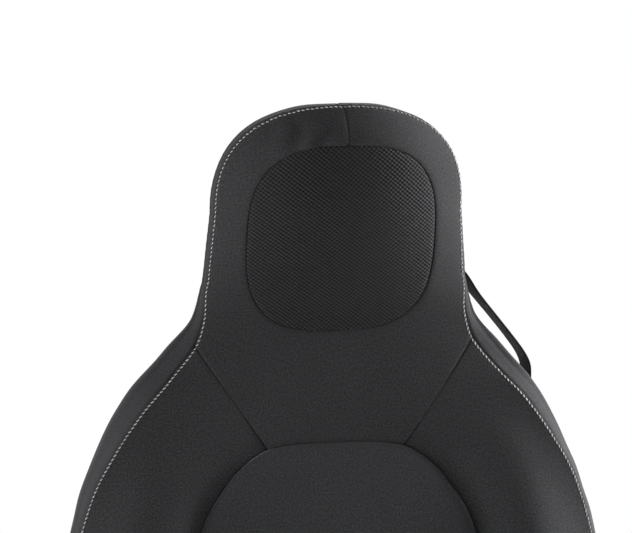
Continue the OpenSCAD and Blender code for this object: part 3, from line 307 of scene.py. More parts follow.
BACK_H, LEAN = 830.0, math.radians(10)
AXIS_Y, AXIS_Z = 175.0, 235.0
HEAD_W, HEAD_ARCH, NECK_W, SHOULDER_W, WAIST_W = 257.0, 106.0, 271.0, 551.0, 476.0
HEAD_LEAD, BACK_DEPTH, ROLL_R = 84.0, 70.0, 58.0
INSERT_W, INSERT_H, INSERT_DROP, INSERT_POWER = 193.0, 184.0, 45.0, 2.9
CENTRE_W, CENTRE_DROP, NECK_DROP = 300.0, 344.0, 240.0
PAD_BOTTOM, WING_BOTTOM = -40.0, 70.0
T_BOTTOM = BACK_H - PAD_BOTTOM
TONGUE_X = 178.2
BOARD_T, BOARD_DOME, SEAM_GAP = 3.0, 20.0, 0.8
NECK_T, SHOULDER_T = 175.0, 540.0
ARCH_POWER = 2.5
NEAR_X, NEAR_W, FAR_X, FAR_W = 0.62, 0.50, 0.36, 0.55
WIDEST, SEAM, REAR = 0, 1, 2
LINE_DROP = (0.0, 3.0, 16.0)
SHOULDER_FORM = ((175, 0), (210, .072), (244, .272), (292, .569), (340, .755), (400, .922), (470, 1.02),
                 (540, 1))
WAIST_FORM = ((540, 0), (600, .22), (680, .6), (760, .9), (830, 1))
SEAM_INSET = ((106, 1), (180, 2.6), (212, 10.2), (245, 26.4), (275, 28.2), (304, 22.4), (340, 15.2),
              (380, 9.2), (431, 6.5), (560, 7.6), (830, 6))
REAR_INSET = ((106, 27), (180, 24), (260, 15), (340, 13), (830, 16))
LEAD_FORM = ((0, 1), (60, .89), (120, .7), (180, .48), (230, .32), (300, .14), (380, .03), (450, 0))
SEAM_FORM = ((0, 37), (15, 26), (40, 20), (95, 14), (180, 12), (230, 13), (260, 15), (300, 27),
             (350, 28), (431, 21), (520, 24), (620, 38), (700, 36), (760, 30), (830, 30))
MIDDLE_FORM = ((0, 38), (44, 66), (90, 66), (137, 55), (180, 41), (227, 25), (270, 25), (345, 30),
               (431, 34), (520, 36), (640, 46), (720, 50), (800, 50))
BOLSTER_FORM = ((300, 0), (431, 18), (520, 30), (600, 40), (640, 36), (700, 14), (745, 0))
CROWN_POWER, BOLSTER_AT, BOLSTER_SPREAD = 2.4, 0.76, 0.17


def curve(knots, t):
    """Smooth monotone curve through the knots (place, value)."""
    x, y = np.array(knots, float).T
    t = np.clip(np.asarray(t, float), x[0], x[-1])
    rate = np.diff(y) / np.diff(x)
    slope = np.concatenate([rate[:1], rate, rate[-1:]])
    a, b = slope[:-1], slope[1:]
    total = np.where(a + b == 0, 1, a + b)
    slope = np.where(a * b <= 0, 0, 2 * a * b / total)
    slope[0], slope[-1] = rate[0], rate[-1]
    i = np.clip(np.searchsorted(x, t, side="right") - 1, 0, len(x) - 2)
    h = x[i + 1] - x[i]
    k = (t - x[i]) / h
    return ((1 + 2 * k) * (1 - k) ** 2 * y[i] + k * (1 - k) ** 2 * h * slope[i]
            + k * k * (3 - 2 * k) * y[i + 1] + k * k * (k - 1) * h * slope[i + 1])


def mix(a, b, k):
    return a + (b - a) * k


def unit(v):
    """Vectors brought to length one."""
    return v / np.maximum(np.linalg.norm(v, axis=-1), 1e-12)[..., None]


def run_along(line):
    """Length along a line, up to each of its points."""
    return np.concatenate([[0], np.cumsum(np.linalg.norm(np.diff(line, axis=0), axis=1))])


def side_half(line, t):
    t = np.asarray(t, float)
    neck = mix(HEAD_W, NECK_W, np.clip((t - HEAD_ARCH) / (NECK_T - HEAD_ARCH), 0, 1))
    shoulder = mix(NECK_W, SHOULDER_W, curve(SHOULDER_FORM, t))
    waist = mix(SHOULDER_W, WAIST_W, curve(WAIST_FORM, t))
    half = np.where(t < NECK_T, neck, np.where(t < SHOULDER_T, shoulder, waist)) / 2
    inset = (0 * t, curve(SEAM_INSET, t), curve(REAR_INSET, t))[line]
    return half - inset


def rim(line, u):
    """Point (across, up) of a line: u from 0 to 1 up the side, 1 to 2 over the arch."""
    u = np.asarray(u, float)
    t = mix(T_BOTTOM, HEAD_ARCH, np.clip(u, 0, 1))
    turn = np.clip(u - 1, 0, 1) * math.pi / 2
    a = side_half(line, HEAD_ARCH)
    b = HEAD_ARCH - LINE_DROP[line]
    arch_x = a * np.maximum(np.cos(turn), 1e-9) ** (2 / ARCH_POWER)
    arch_z = BACK_H - HEAD_ARCH + b * np.sin(turn) ** (2 / ARCH_POWER)
    return np.where(u <= 1, side_half(line, t), arch_x), np.where(u <= 1, BACK_H - t, arch_z)


def half_at(line, t):
    """Half the width of a line at a depth below the top, the arch included."""
    t = np.asarray(t, float)
    rise = np.clip((HEAD_ARCH - t) / (HEAD_ARCH - LINE_DROP[line]), 0, 1)
    arch = side_half(line, HEAD_ARCH) * np.maximum(1e-6, 1 - rise ** ARCH_POWER) ** (1 / ARCH_POWER)
    return np.where(t >= HEAD_ARCH, side_half(line, t), arch)


def lead(t):
    return HEAD_LEAD * curve(LEAD_FORM, t)


def bell(q):
    return (np.exp(-((q - BOLSTER_AT) / BOLSTER_SPREAD) ** 2)
            - np.exp(-((1 - BOLSTER_AT) / BOLSTER_SPREAD) ** 2) * q)


def front(x, z):
    """How far forward the front of the backrest stands."""
    t = BACK_H - z
    q = np.minimum(1, np.abs(x) / half_at(SEAM, t))
    face = (lead(t) + mix(curve(MIDDLE_FORM, t), curve(SEAM_FORM, t), q ** CROWN_POWER)
            + curve(BOLSTER_FORM, t) * bell(q))
    under = np.sqrt(np.maximum(1, ROLL_R ** 2 - z * z))
    return np.where(z > ROLL_R / 2, face, np.minimum(face, under))


def rear_face(t):
    return lead(t) - BACK_DEPTH + 8 * (1 - np.minimum(1, t / 300))


def board_w(x, z):
    """The outside of the rear board, as a distance forward."""
    t = BACK_H - z
    q = np.minimum(1, np.abs(x) / half_at(REAR, t))
    rise = np.sqrt(np.clip((t - LINE_DROP[REAR]) / HEAD_ARCH, 0, 1))
    return rear_face(t) - BOARD_DOME * (1 - q ** 3) * rise


def flank_knots(u):
    """Five points (across, forward, up) down the side, from the edge seam to the rear board."""
    sx, sz = rim(SEAM, u)
    ox, oz = rim(WIDEST, u)
    bx, bz = rim(REAR, u)
    sw, ow, bw = front(sx, sz), lead(BACK_H - oz), rear_face(BACK_H - bz) + BOARD_T + 2 * SEAM_GAP
    s, o, b = (np.stack(p, -1) for p in ((sx, sw, sz), (ox, ow, oz), (bx, bw, bz)))
    near, far = mix(s, o, NEAR_X), mix(o, b, FAR_X)
    near[..., 1], far[..., 1] = mix(sw, ow, NEAR_W), mix(ow, bw, FAR_W)
    return np.stack([s, near, o, far, b], -2)


def flank_x(t, w):
    """How far across the rear of the side stands, at a depth and a distance forward."""
    ow, bw = lead(t), rear_face(t) + BOARD_T + 2 * SEAM_GAP
    bx = side_half(REAR, t)
    mx, mw = mix(side_half(WIDEST, t), bx, FAR_X), mix(ow, bw, FAR_W)
    return mix(bx, mx, (w - bw) / (mw - bw))


def between(a, b, c, d, k):
    """Smooth steps from b to c, with a and d as their neighbours."""
    return 0.5 * (2 * b + (c - a) * k + (2 * a - 5 * b + 4 * c - d) * k ** 2
                  + (3 * b - a - 3 * c + d) * k ** 3)


def spline(points, steps):
    """Points along a smooth open line through the given ones."""
    p = np.asarray(points, float)
    p = np.concatenate([p[:1], p, p[-1:]])
    k = (np.arange(steps) / steps)[:, None]
    parts = [between(*p[i:i + 4], k) for i in range(len(p) - 3)]
    return np.concatenate(parts + [p[-1:]])


LINE_STEP, PATH_STEP = 3.0, 1.5


def resample(line, step, closed=False):
    """The same line with points one step apart."""
    p = np.asarray(line, float)
    if closed:
        p = np.concatenate([p, p[:1]])
    run = run_along(p)
    at = np.linspace(0, run[-1], max(2, int(round(run[-1] / step))) + 1)
    out = np.stack([np.interp(at, run, p[:, k]) for k in range(p.shape[1])], -1)
    return out[:-1] if closed else out


def mirror(line):
    return np.asarray(line)[::-1] * [-1, 1]


def both_halves(half):
    """A line to the middle, and on along its mirror image."""
    return np.concatenate([half, mirror(half)[1:]])


def beside(line, gap):
    """A plan line moved to the left of its run."""
    way = unit(np.gradient(line, axis=0))
    return line + np.stack([-way[:, 1], way[:, 0]], 1) * gap


def in_world(p):
    """Backrest points (across, forward, up) in millimetres, as scene points in metres."""
    p = np.asarray(p, float)
    y, z = -p[..., 1], p[..., 2]
    return np.stack([
        p[..., 0],
        AXIS_Y + y * math.cos(LEAN) + z * math.sin(LEAN),
        AXIS_Z - y * math.sin(LEAN) + z * math.cos(LEAN),
    ], -1) * MM


# ---------------- panels cut from a surface


def nearest(points, line, closed=False):
    """Distance from each point to a line, and how far along the line that is."""
    a = np.asarray(line, float)
    b = np.roll(a, -1, axis=0) if closed else a[1:]
    a = a if closed else a[:-1]
    d = b - a
    size = np.maximum((d ** 2).sum(1), 1e-12)
    run = np.concatenate([[0], np.cumsum(np.sqrt(size))])
    best, along = [], []
    for part in np.array_split(points, max(1, len(points) * len(a) // 4000000 + 1)):
        k = np.clip(((part[:, None] - a) * d).sum(2) / size, 0, 1)
        gap = np.linalg.norm(part[:, None] - (a + d * k[..., None]), axis=2)
        i = gap.argmin(1)
        rows = np.arange(len(part))
        best.append(gap[rows, i])
        along.append(run[i] + np.sqrt(size[i]) * k[rows, i])
    return np.concatenate(best), np.concatenate(along)


def inside(points, polygon):
    x, y = np.asarray(points).T
    hit = np.zeros(len(x), bool)
    p = np.asarray(polygon, float)
    for (ax, ay), (bx, by) in zip(p, np.roll(p, -1, axis=0)):
        cross = (ay > y) != (by > y)
        with np.errstate(divide="ignore", invalid="ignore"):
            hit ^= cross & (x < (bx - ax) * (y - ay) / (by - ay) + ax)
    return hit


RINGS = (0.5, 1.4, 2.8, 4.8, 7.5, 11.0, 15.5)
FINE_RING, RING_CLEAR, GRID_CLEAR, ROW_STEP = 6.0, 0.86, 0.6, 0.866


def plan_mesh(domain, lines, spacing, rings=RINGS):
    """Triangles over a plan, with edges along every line. lines holds (points, closed)."""
    every = [(domain, True)] + lines
    verts, edges, fill, ring_of = [], [], [], []
    for line, closed in every:
        start, count = len(verts), len(line)
        verts += [tuple(p) for p in line]
        edges += [(start + i, start + (i + 1) % count) for i in range(count if closed else count - 1)]
        ahead = np.roll(line, -1, axis=0) - line
        back = line - np.roll(line, 1, axis=0)
        if not closed:
            ahead[-1], back[0] = back[-1], ahead[0]
        way = unit(ahead + back)
        out = np.stack([way[:, 1], -way[:, 0]], 1)
        for r in rings:
            for gap in (r, -r):
                fill.append((line + out * gap)[::1 if r < FINE_RING else 2])
                ring_of.append(np.full(len(fill[-1]), r))
    fill, ring_of = np.concatenate(fill), np.concatenate(ring_of)

    def reach(points):
        return np.min([nearest(points, line, closed)[0] for line, closed in every], axis=0)

    fill = fill[(reach(fill) > RING_CLEAR * ring_of) & inside(fill, domain)]
    (low_x, low_y), (high_x, high_y) = domain.min(0), domain.max(0)
    gx, gy = np.meshgrid(np.arange(low_x, high_x, spacing), np.arange(low_y, high_y, spacing * ROW_STEP))
    gx = gx + (np.arange(len(gx)) % 2)[:, None] * spacing / 2
    grid = np.stack([gx.ravel(), gy.ravel()], 1)
    grid = grid[(reach(grid) > rings[-1] + GRID_CLEAR * spacing) & inside(grid, domain)]
    cloud = [Vector(p) for p in (*verts, *fill, *grid)]
    got, _, tris, *_ = geometry.delaunay_2d_cdt(cloud, edges, [], 0, 1e-4)
    points = np.array([tuple(v) for v in got])
    tris = np.array([t for t in tris if len(t) == 3])
    return points, tris[inside(points[tris].mean(1), domain)]


def turned(p, tris, way=1):
    """Plan triangles that all run anticlockwise, or clockwise where way is -1."""
    a, b, c = (p[tris[:, k]] for k in range(3))
    return np.where((np.cross(b - a, c - a) * way < 0)[:, None], tris[:, ::-1], tris)


def roll(gap, radius, depth):
    """How far a rolled edge has dropped, at a distance from its seam."""
    s = np.clip(1 - gap / radius, 0, 1)
    return depth * (1 - np.sqrt(1 - s * s))


def ripple(p, size, seed):
    """Smooth unevenness, about -1 to 1, from a few crossing waves."""
    draw = np.random.default_rng(seed)
    total = 0
    for _ in range(7):
        way = unit(draw.normal(size=p.shape[1]))
        length = size * draw.uniform(0.7, 1.6)
        total = total + np.sin(p @ way * 2 * math.pi / length + draw.uniform(0, 7))
    return total / 4


STITCH_PITCH = 4.7


def pucker(edge, along, depth, reach, shift=0):
    """Small waves beside an edge seam, one for every two stitches."""
    return depth * np.exp(-edge / reach) * np.sin(along * 2 * math.pi / (2 * STITCH_PITCH) + shift)


def object_of(name, verts, faces, material, cloth=None, smooth=True):
    """A mesh object. cloth holds each point's place on the flat cloth, in metres."""
    mesh = bpy.data.meshes.new(name)
    mesh.from_pydata([tuple(v) for v in verts], [], [tuple(int(i) for i in f) for f in faces])
    if cloth is not None:
        data = mesh.attributes.new("cloth", "FLOAT_VECTOR", "POINT")
        flat = np.zeros((len(verts), 3), np.float32)
        flat[:, :cloth.shape[1]] = cloth
        data.data.foreach_set("vector", flat.ravel())
    mesh.polygons.foreach_set("use_smooth", [smooth] * len(mesh.polygons))
    mesh.update()
    mesh.materials.append(material)
    return linked(name, mesh)


def vertex_normals(verts, faces):
    a, b, c = (verts[faces[:, k]] for k in range(3))
    n = np.cross(b - a, c - a)
    total = np.zeros_like(verts)
    for k in range(3):
        np.add.at(total, faces[:, k], n)
    return unit(total)


TUCK = 7.0


def skin(name, points, faces, cloth, material, tuck=TUCK, outward=None):
    """A cover panel in world metres, its border tucked in under the surface."""
    used = np.unique(faces)
    order = np.full(len(points), -1)
    order[used] = np.arange(len(used))
    points, cloth, faces = points[used], cloth[used], order[faces]
    normals = vertex_normals(points, faces)
    if outward is not None and (normals * outward[used]).sum() < 0:
        faces, normals = faces[:, ::-1], -normals
    sides = np.concatenate([faces[:, [0, 1]], faces[:, [1, 2]], faces[:, [2, 0]]])
    sides = dict.fromkeys(map(tuple, sides.tolist()))
    border = [(a, b) for a, b in sides if (b, a) not in sides]
    rim_ids = sorted({i for e in border for i in e})
    tucks = {i: len(points) + k for k, i in enumerate(rim_ids)}
    low = points[rim_ids] - normals[rim_ids] * tuck * MM
    walls = [(a, tucks[a], tucks[b], b) for a, b in border]
    verts = np.concatenate([points, low])
    flat = np.concatenate([cloth, cloth[rim_ids] + [0, 0.002, 0][:cloth.shape[1]]])
    return object_of(name, verts, [*map(tuple, faces), *walls], material, flat)


def along_surface(height, low, high):
    """Length along the middle of a surface, as a table over its plan distance."""
    at = np.arange(low, high + 1, 1.0)
    return at, run_along(np.stack([at, height(0 * at, at)], 1))


def up_and_over(up, over):
    """Places from 0 to 1 up the straight side of a rim, then from 1 to 2 round its end."""
    return np.concatenate([np.linspace(0, 1, up), 1 + np.linspace(0, 1, over)[1:]])


U_ALL = up_and_over(400, 300)


def rim_above(line, low_z):
    """The right half of a line, from a height up to the top."""
    x, z = rim(line, U_ALL)
    return np.stack([x, z], 1)[z > low_z]


def back_outline(line):
    low_x = float(half_at(line, BACK_H - WING_BOTTOM))
    start = [[TONGUE_X, PAD_BOTTOM], [TONGUE_X, WING_BOTTOM], [low_x, WING_BOTTOM]]
    right = np.concatenate([start, rim_above(line, WING_BOTTOM)])
    return resample(both_halves(right), LINE_STEP, True)


def rounded(v):
    return np.sign(v) * np.abs(v) ** (2 / INSERT_POWER)


TURN = np.linspace(0, 2 * math.pi, 241)[:-1]
INSERT_LINE = resample(np.stack([
    INSERT_W / 2 * rounded(np.cos(TURN)),
    BACK_H - INSERT_DROP - INSERT_H / 2 * (1 - rounded(np.sin(TURN))),
], 1), LINE_STEP, True)
CENTRE_HALF = spline([
    (CENTRE_W * .45, T_BOTTOM + 9), (CENTRE_W * .47, 740), (CENTRE_W * .49, 620), (CENTRE_W * .5, 540),
    (CENTRE_W * .492, CENTRE_DROP + 126), (CENTRE_W * .456, CENTRE_DROP + 77),
    (CENTRE_W * .385, CENTRE_DROP + 42), (CENTRE_W * .33, CENTRE_DROP + 23),
    (CENTRE_W * .245, CENTRE_DROP + 6), (CENTRE_W * .15, CENTRE_DROP), (0, CENTRE_DROP - 1),
], 12)
CENTRE_HALF[:, 1] = BACK_H - CENTRE_HALF[:, 1]
CENTRE_LINE = both_halves(CENTRE_HALF)
CENTRE_LINE = CENTRE_LINE[CENTRE_LINE[:, 1] >= PAD_BOTTOM]
CENTRE_LINE = resample(np.concatenate([
    [[CENTRE_LINE[0, 0], PAD_BOTTOM]], CENTRE_LINE, [[CENTRE_LINE[-1, 0], PAD_BOTTOM]],
]), LINE_STEP)
BACK_LINE = back_outline(SEAM)
NECK_END = CENTRE_LINE[np.abs(
    CENTRE_LINE - [CENTRE_W * .235, BACK_H - CENTRE_DROP - 6]).sum(1).argmin()]
NECK_START = BACK_LINE[np.abs(
    BACK_LINE - [float(half_at(SEAM, NECK_DROP)), BACK_H - NECK_DROP]).sum(1).argmin()]
NECK_LINE = spline([NECK_START, mix(NECK_START, NECK_END, .5) + [2, 1], NECK_END], 24)
NECK_LEFT = NECK_LINE * [-1, 1]
HEAD_AREA = np.concatenate([
    [NECK_START + [60, 60]], NECK_LINE, mirror(NECK_LINE), [NECK_START * [-1, 1] + [-60, 60]],
    [[-400, BACK_H + 40], [400, BACK_H + 40]],
])
TOP_SEAM = np.stack([np.zeros(13), np.linspace(BACK_H - LINE_DROP[SEAM], BACK_H - INSERT_DROP, 13)], 1)
RUN_Z, RUN_LENGTH = along_surface(front, PAD_BOTTOM - 5, BACK_H)


def front_gaps(p):
    """Distances of plan points from each seam of the front."""
    edge, along = nearest(p, BACK_LINE, True)
    return {
        "edge": edge, "along": along,
        "neck": np.minimum(nearest(p, NECK_LEFT)[0], nearest(p, NECK_LINE)[0]),
        "insert": nearest(p, INSERT_LINE, True)[0], "centre": nearest(p, CENTRE_LINE)[0],
        "top": nearest(p, TOP_SEAM)[0],
    }


EDGE_ROLLS = (("neck", 4.2, 1.5), ("centre", 7, 3.2), ("insert", 6.0, 1.4), ("top", 3.0, 1.2))
VALLEY = {"head": 5.5, "shoulder": 8.0}
CREASE_AT = (-40, 797)


def front_drop(p, panel, gaps=None):
    """How far each panel's surface lies under the plain form, with its rolled edges."""
    g = gaps or front_gaps(p)
    x, z = p[:, 0], p[:, 1]
    drop = roll(g["edge"], 6.0, 2.2)
    if panel == "knit":
        drop = drop + roll(g["insert"], 6, 1.5) + 0.5 - 1.6 * (1 - np.exp(-g["insert"] / 30))
    elif panel == "centre":
        drop = drop + roll(g["centre"], 20, 10.5) - 2.6 * (1 - np.exp(-g["centre"] / 40))
    else:
        for seam, radius, depth in EDGE_ROLLS:
            drop = drop + roll(g[seam], radius, depth)
        drop = drop + VALLEY[panel] * np.exp(-(g["centre"] / 26) ** 2)
    if panel == "head":
        crease = np.exp(-(((x - CREASE_AT[0]) / 30) ** 2 + ((z - CREASE_AT[1]) / 15) ** 2))
        drop = drop + crease * (2.2 + 2.4 * np.sin(x * 0.22 + 0.9 * np.sin(z * 0.17)))
    uneven = 0.35 * ripple(p, 85, 3) + 0.10 * ripple(p, 26, 4)
    return drop + pucker(g["edge"], g["along"], 0.30, 9.0) + uneven * np.minimum(1, g["edge"] / 20)


def front_points(p, panel, lift=0.0):
    """World points of a panel over plan points, dropped along the surface's own normal."""
    def raw(x, z):
        return np.stack([x, front(x, z), z], -1)
    x, z = p[:, 0], p[:, 1]
    h = 0.5
    limit = half_at(SEAM, BACK_H - z) - h
    xs = np.clip(x, -limit, limit)
    zs = np.minimum(z, BACK_H - LINE_DROP[SEAM] - 1.5)
    normal = unit(np.cross(raw(xs + h, z) - raw(xs - h, z), raw(x, zs + h) - raw(x, zs - h)))
    normal *= np.sign(normal[:, 1:2])
    return in_world(raw(x, z) + normal * (lift - front_drop(p, panel))[:, None])


def cloth_map(p, at, lengths):
    """Places on the flat cloth, from a table of the length along it."""
    return np.stack([p[:, 0] * MM, np.interp(p[:, 1], at, lengths) * MM], 1)


def sew(p, tris, place, cloth, cut):
    """A padded cover for each row of cut: panel, its triangles, name, node and look."""
    for panel, mask, name, node, material in cut:
        made = skin(name, place(p, panel), turned(p, tris[mask]), cloth, material)
        stands_for(made, node)


def front_panels():
    necks = [(resample(line, LINE_STEP), False) for line in (NECK_LINE, NECK_LEFT)]
    lines = [(INSERT_LINE, True), (CENTRE_LINE, False), *necks, (TOP_SEAM, False)]
    p, tris = plan_mesh(BACK_LINE, lines, 6.0)
    middle = p[tris].mean(1)
    knit = inside(middle, INSERT_LINE)
    centre = inside(middle, np.concatenate([CENTRE_LINE, [[0, PAD_BOTTOM - 30]]])) & ~knit
    head = inside(middle, HEAD_AREA) & ~knit & ~centre
    rest = ~knit & ~centre & ~head
    left = middle[:, 0] < 0
    sew(p, tris, front_points, cloth_map(p, RUN_Z, RUN_LENGTH), (
        ("knit", knit, "head_insert_cloth", "head_mesh_panel", KNIT),
        ("centre", centre, "centre_panel_cloth", "centre_panel", CENTRE_CLOTH),
        ("head", head, "head_cover_cloth", "head_cover", CHARCOAL),
        ("shoulder", rest & left, "shoulder_cloth_left", "shoulder_cover_left", CHARCOAL),
        ("shoulder", rest & ~left, "shoulder_cloth_right", "shoulder_cover_right", CHARCOAL),
    ))


def grid_tris(rows, cols):
    r, c = np.meshgrid(np.arange(rows - 1), np.arange(cols - 1), indexing="ij")
    i = (r * cols + c).ravel()
    one, other = (i, i + 1, i + cols + 1), (i, i + cols + 1, i + cols)
    return np.concatenate([np.stack(one, 1), np.stack(other, 1)])


def tube_faces(rows, cols):
    """Faces of a closed tube: rows of rings, and a cap at each end."""
    faces = [
        (r + c, r + d, r + cols + d, r + cols + c)
        for r in range(0, (rows - 1) * cols, cols)
        for c, d in zip(range(cols), [*range(1, cols), 0])
    ]
    last = (rows - 1) * cols
    return faces + [tuple(range(cols))[::-1], tuple(range(last, last + cols))]


def measured(points, middle):
    """A grid's normals away from a middle, its lengths across and along, and both as rows."""
    normal = unit(np.cross(np.gradient(points, axis=0), np.gradient(points, axis=1)))
    normal *= np.sign((normal[..., :2] * (points[..., :2] - middle)).sum())
    steps = np.cumsum(np.linalg.norm(np.diff(points, axis=1), axis=2), axis=1)
    across = np.concatenate([np.zeros((len(points), 1)), steps], 1)
    along = run_along(points[:, 0])[:, None] + 0 * across
    return normal, across, along, np.stack([across, along], -1).reshape(-1, 2)


def flank_surface(u, columns):
    """The side of the backrest, column by column from the edge seam to the rear board."""
    knots = flank_knots(u)
    first, last = 2 * knots[:, :1] - knots[:, 1:2], 2 * knots[:, -1:] - knots[:, -2:-1]
    knots = np.concatenate([first, knots, last], 1)
    v = np.linspace(0, 4, columns)
    i = np.minimum(v.astype(int), 3)
    return between(*(knots[:, i + n] for n in range(4)), (v - i)[None, :, None])


GUSSET_ROWS, GUSSET_COLS, SKIRT_COLS, SKIRT_STEP = 300, 40, 22, 4.0


def gusset(side):
    """The strip round the side of the backrest, from the edge seam to the rear board."""
    low = float((T_BOTTOM - (BACK_H - WING_BOTTOM)) / (T_BOTTOM - HEAD_ARCH))
    run = run_along(np.stack(rim(SEAM, U_ALL), 1))
    start, end = np.interp(low, U_ALL, run), run[-1]
    at = np.concatenate([np.linspace(start, end, GUSSET_ROWS), end - np.array([0.4, 1, 2]),
                         start + np.array([0.5, 1.5, 3])])
    at.sort()
    points = flank_surface(np.interp(at, run, U_ALL), GUSSET_COLS)
    normal, across, along, flat = measured(points, [0, 0])
    width = across[:, -1:]
    drop = roll(across, 6.0, 2.4) + roll(width - across, 8.0, 3.5)
    drop = drop + roll(end - at, 3.0, 0.9)[:, None] + roll(at - start, 9.0, 4.0)[:, None]
    soft = np.minimum(1, np.minimum(across, width - across) / 12)
    uneven = ripple(flat, 60, 11 + side).reshape(across.shape) * 0.5 * soft
    drop = drop + pucker(across, along, 0.28, 10, 1) + uneven
    points = points - normal * drop[..., None]
    points[..., 0] *= side
    tris = grid_tris(*points.shape[:2])
    points = in_world(points.reshape(-1, 3))
    name = "left" if side < 0 else "right"
    made = skin(f"gusset_cloth_{name}", points, tris, flat * MM, GUSSET_CLOTH,
                outward=0 * points + [side, 0, 0])
    stands_for(made, f"side_cover_{name}")


THREAD_R, THREAD_SIDES, THREAD_LENGTH = 0.56, 6, 3.3
THREAD_SLANT, THREAD_RISE, THREAD_ARCH = 0.55, 0.30, 1.6


def stitches(name, body, path, above):
    """A row of thread stitches along a path in world metres, each one dipping in at its ends."""
    run = run_along(path) / MM
    normal = unit(above - path)
    count = int(run[-1] / STITCH_PITCH)
    steps = np.array([-.5, -.36, -.15, .15, .36, .5])
    lift = np.array([-.75, 0.05, .35, .35, .05, -.75])
    thin = np.array([.55, .95, 1, 1, .95, .55])
    corner = np.arange(THREAD_SIDES) * 2 * math.pi / THREAD_SIDES
    at = (np.arange(count)[:, None] + .5) * STITCH_PITCH + steps * THREAD_LENGTH
    centre = np.stack([np.interp(at, run, path[:, k]) for k in range(3)], -1)
    up = unit(np.stack([np.interp(at, run, normal[:, k]) for k in range(3)], -1))
    side = np.cross(unit(np.gradient(centre, axis=1)), up)
    centre = centre + up * ((lift + THREAD_RISE) * THREAD_R * MM * THREAD_ARCH)[None, :, None]
    centre = centre + side * (steps * 2 * THREAD_SLANT * MM)[None, :, None]
    ring = (side[:, :, None] * np.cos(corner)[None, None, :, None]
            + up[:, :, None] * np.sin(corner)[None, None, :, None])
    verts = centre[:, :, None] + ring * (THREAD_R * MM * thin)[None, :, None, None]
    one, size = tube_faces(len(steps), THREAD_SIDES), len(steps) * THREAD_SIDES
    faces = [tuple(i * size + k for k in f) for i in range(count) for f in one]
    made = object_of(name, verts.reshape(-1, 3), faces, THREAD)
    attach(made, body)


def back_stitches():
    """Topstitching just inside the edge seam, from one shoulder over the head to the other."""
    inner = beside(resample(both_halves(rim_above(SEAM, WING_BOTTOM + 6)), PATH_STEP), 2.3)
    stitches("edge_topstitching", "backrest",
             front_points(inner, "head"), front_points(inner, "head", lift=4.0))


def board_panel():
    """Moulded rear board, with a rolled edge and a shallow groove inside it."""
    outline = back_outline(REAR)
    p, tris = plan_mesh(outline, [], 9.0, (0.6, 1.8, 3.6, 6.0, 9.0, 12.0, 15.5, 19.0))
    edge = nearest(p, outline, True)[0]
    drop = roll(edge, 4.0, 2.6) + 1.1 * np.exp(-((edge - 15.5) / 2.2) ** 2)
    points = in_world(np.stack([p[:, 0], board_w(p[:, 0], p[:, 1]) + drop, p[:, 1]], -1))
    made = skin("rear_board_shell", points, turned(p, tris, -1), p * MM, PLASTIC, tuck=4.5)
    stands_for(made, "back_board")


# ---------------- the cushion

# In millimetres too, with x, y and z as in the scene.

CUSHION_W, CUSHION_FRONT, CUSHION_Z, BOLSTER_H = 480.0, 330.0, 284.0, 36.0
SKIRT_Z, SEAT_PANEL_W, PAN_TOP = 214.0, 280.0, 173.5
CUSHION_REAR = AXIS_Y - ROLL_R - 4
FRONT_Y, CORNER_R, CORNER_POWER, CUSHION_D = -CUSHION_FRONT, 80.0, 3.4, 443.0
SEAT_FORM = ((0, -48), (12, -16), (30, 2), (60, 18), (110, 24), (210, 12), (330, 0), (380, -6),
             (410, -18), (430, -36), (443, -52))
SEAT_BOLSTER = ((0, 0), (40, .35), (100, .85), (210, 1), (330, .85), (390, .45), (430, .1), (443, 0))
SEAT_WAIST = ((0, 4), (70, 4), (230, 0), (330, 2), (443, 12))
HEM_FORM = ((0, 1), (40, .9), (75, .15), (92, 0))
EDGE_ROLL, EDGE_POWER, FRONT_POWER = 14.0, 8, 24
FRONT_HALF = CUSHION_W / 2 - SEAT_WAIST[0][1]
SEAT_MIDDLE = (0, -80)


def from_front(y):
    return (y - FRONT_Y) * CUSHION_D / (CUSHION_REAR - FRONT_Y)


def seat_half(y):
    corner = np.clip((FRONT_Y + CORNER_R - y) / CORNER_R, 0, 1)
    curved = FRONT_HALF * np.maximum(1e-6, 1 - corner ** CORNER_POWER) ** (1 / CORNER_POWER)
    return np.where(y > FRONT_Y + CORNER_R, CUSHION_W / 2 - curve(SEAT_WAIST, from_front(y)), curved)


def seat_top(x, y):
    d = from_front(y)
    q = np.minimum(1, np.abs(x) / seat_half(y))
    ahead = np.clip((FRONT_Y + CORNER_R - y) / CORNER_R, 0, 1)
    return (CUSHION_Z + curve(SEAT_FORM, d) + 1.1 * BOLSTER_H * curve(SEAT_BOLSTER, d) * bell(q)
            - EDGE_ROLL * np.maximum(q ** EDGE_POWER, ahead ** FRONT_POWER))


def seat_hem(y):
    return mix(SKIRT_Z, PAN_TOP + 4, curve(HEM_FORM, from_front(y)))


def seat_rim(u):
    u = np.asarray(u, float)
    y = mix(CUSHION_REAR, FRONT_Y + CORNER_R, np.clip(u, 0, 1))
    turn = np.clip(u - 1, 0, 1) * math.pi / 2
    corner_x = FRONT_HALF * np.maximum(np.cos(turn), 1e-9) ** (2 / CORNER_POWER)
    x = np.where(u <= 1, seat_half(y), corner_x)
    y = np.where(u <= 1, y, FRONT_Y + CORNER_R - CORNER_R * np.sin(turn) ** (2 / CORNER_POWER))
    return np.stack([x, y], -1)


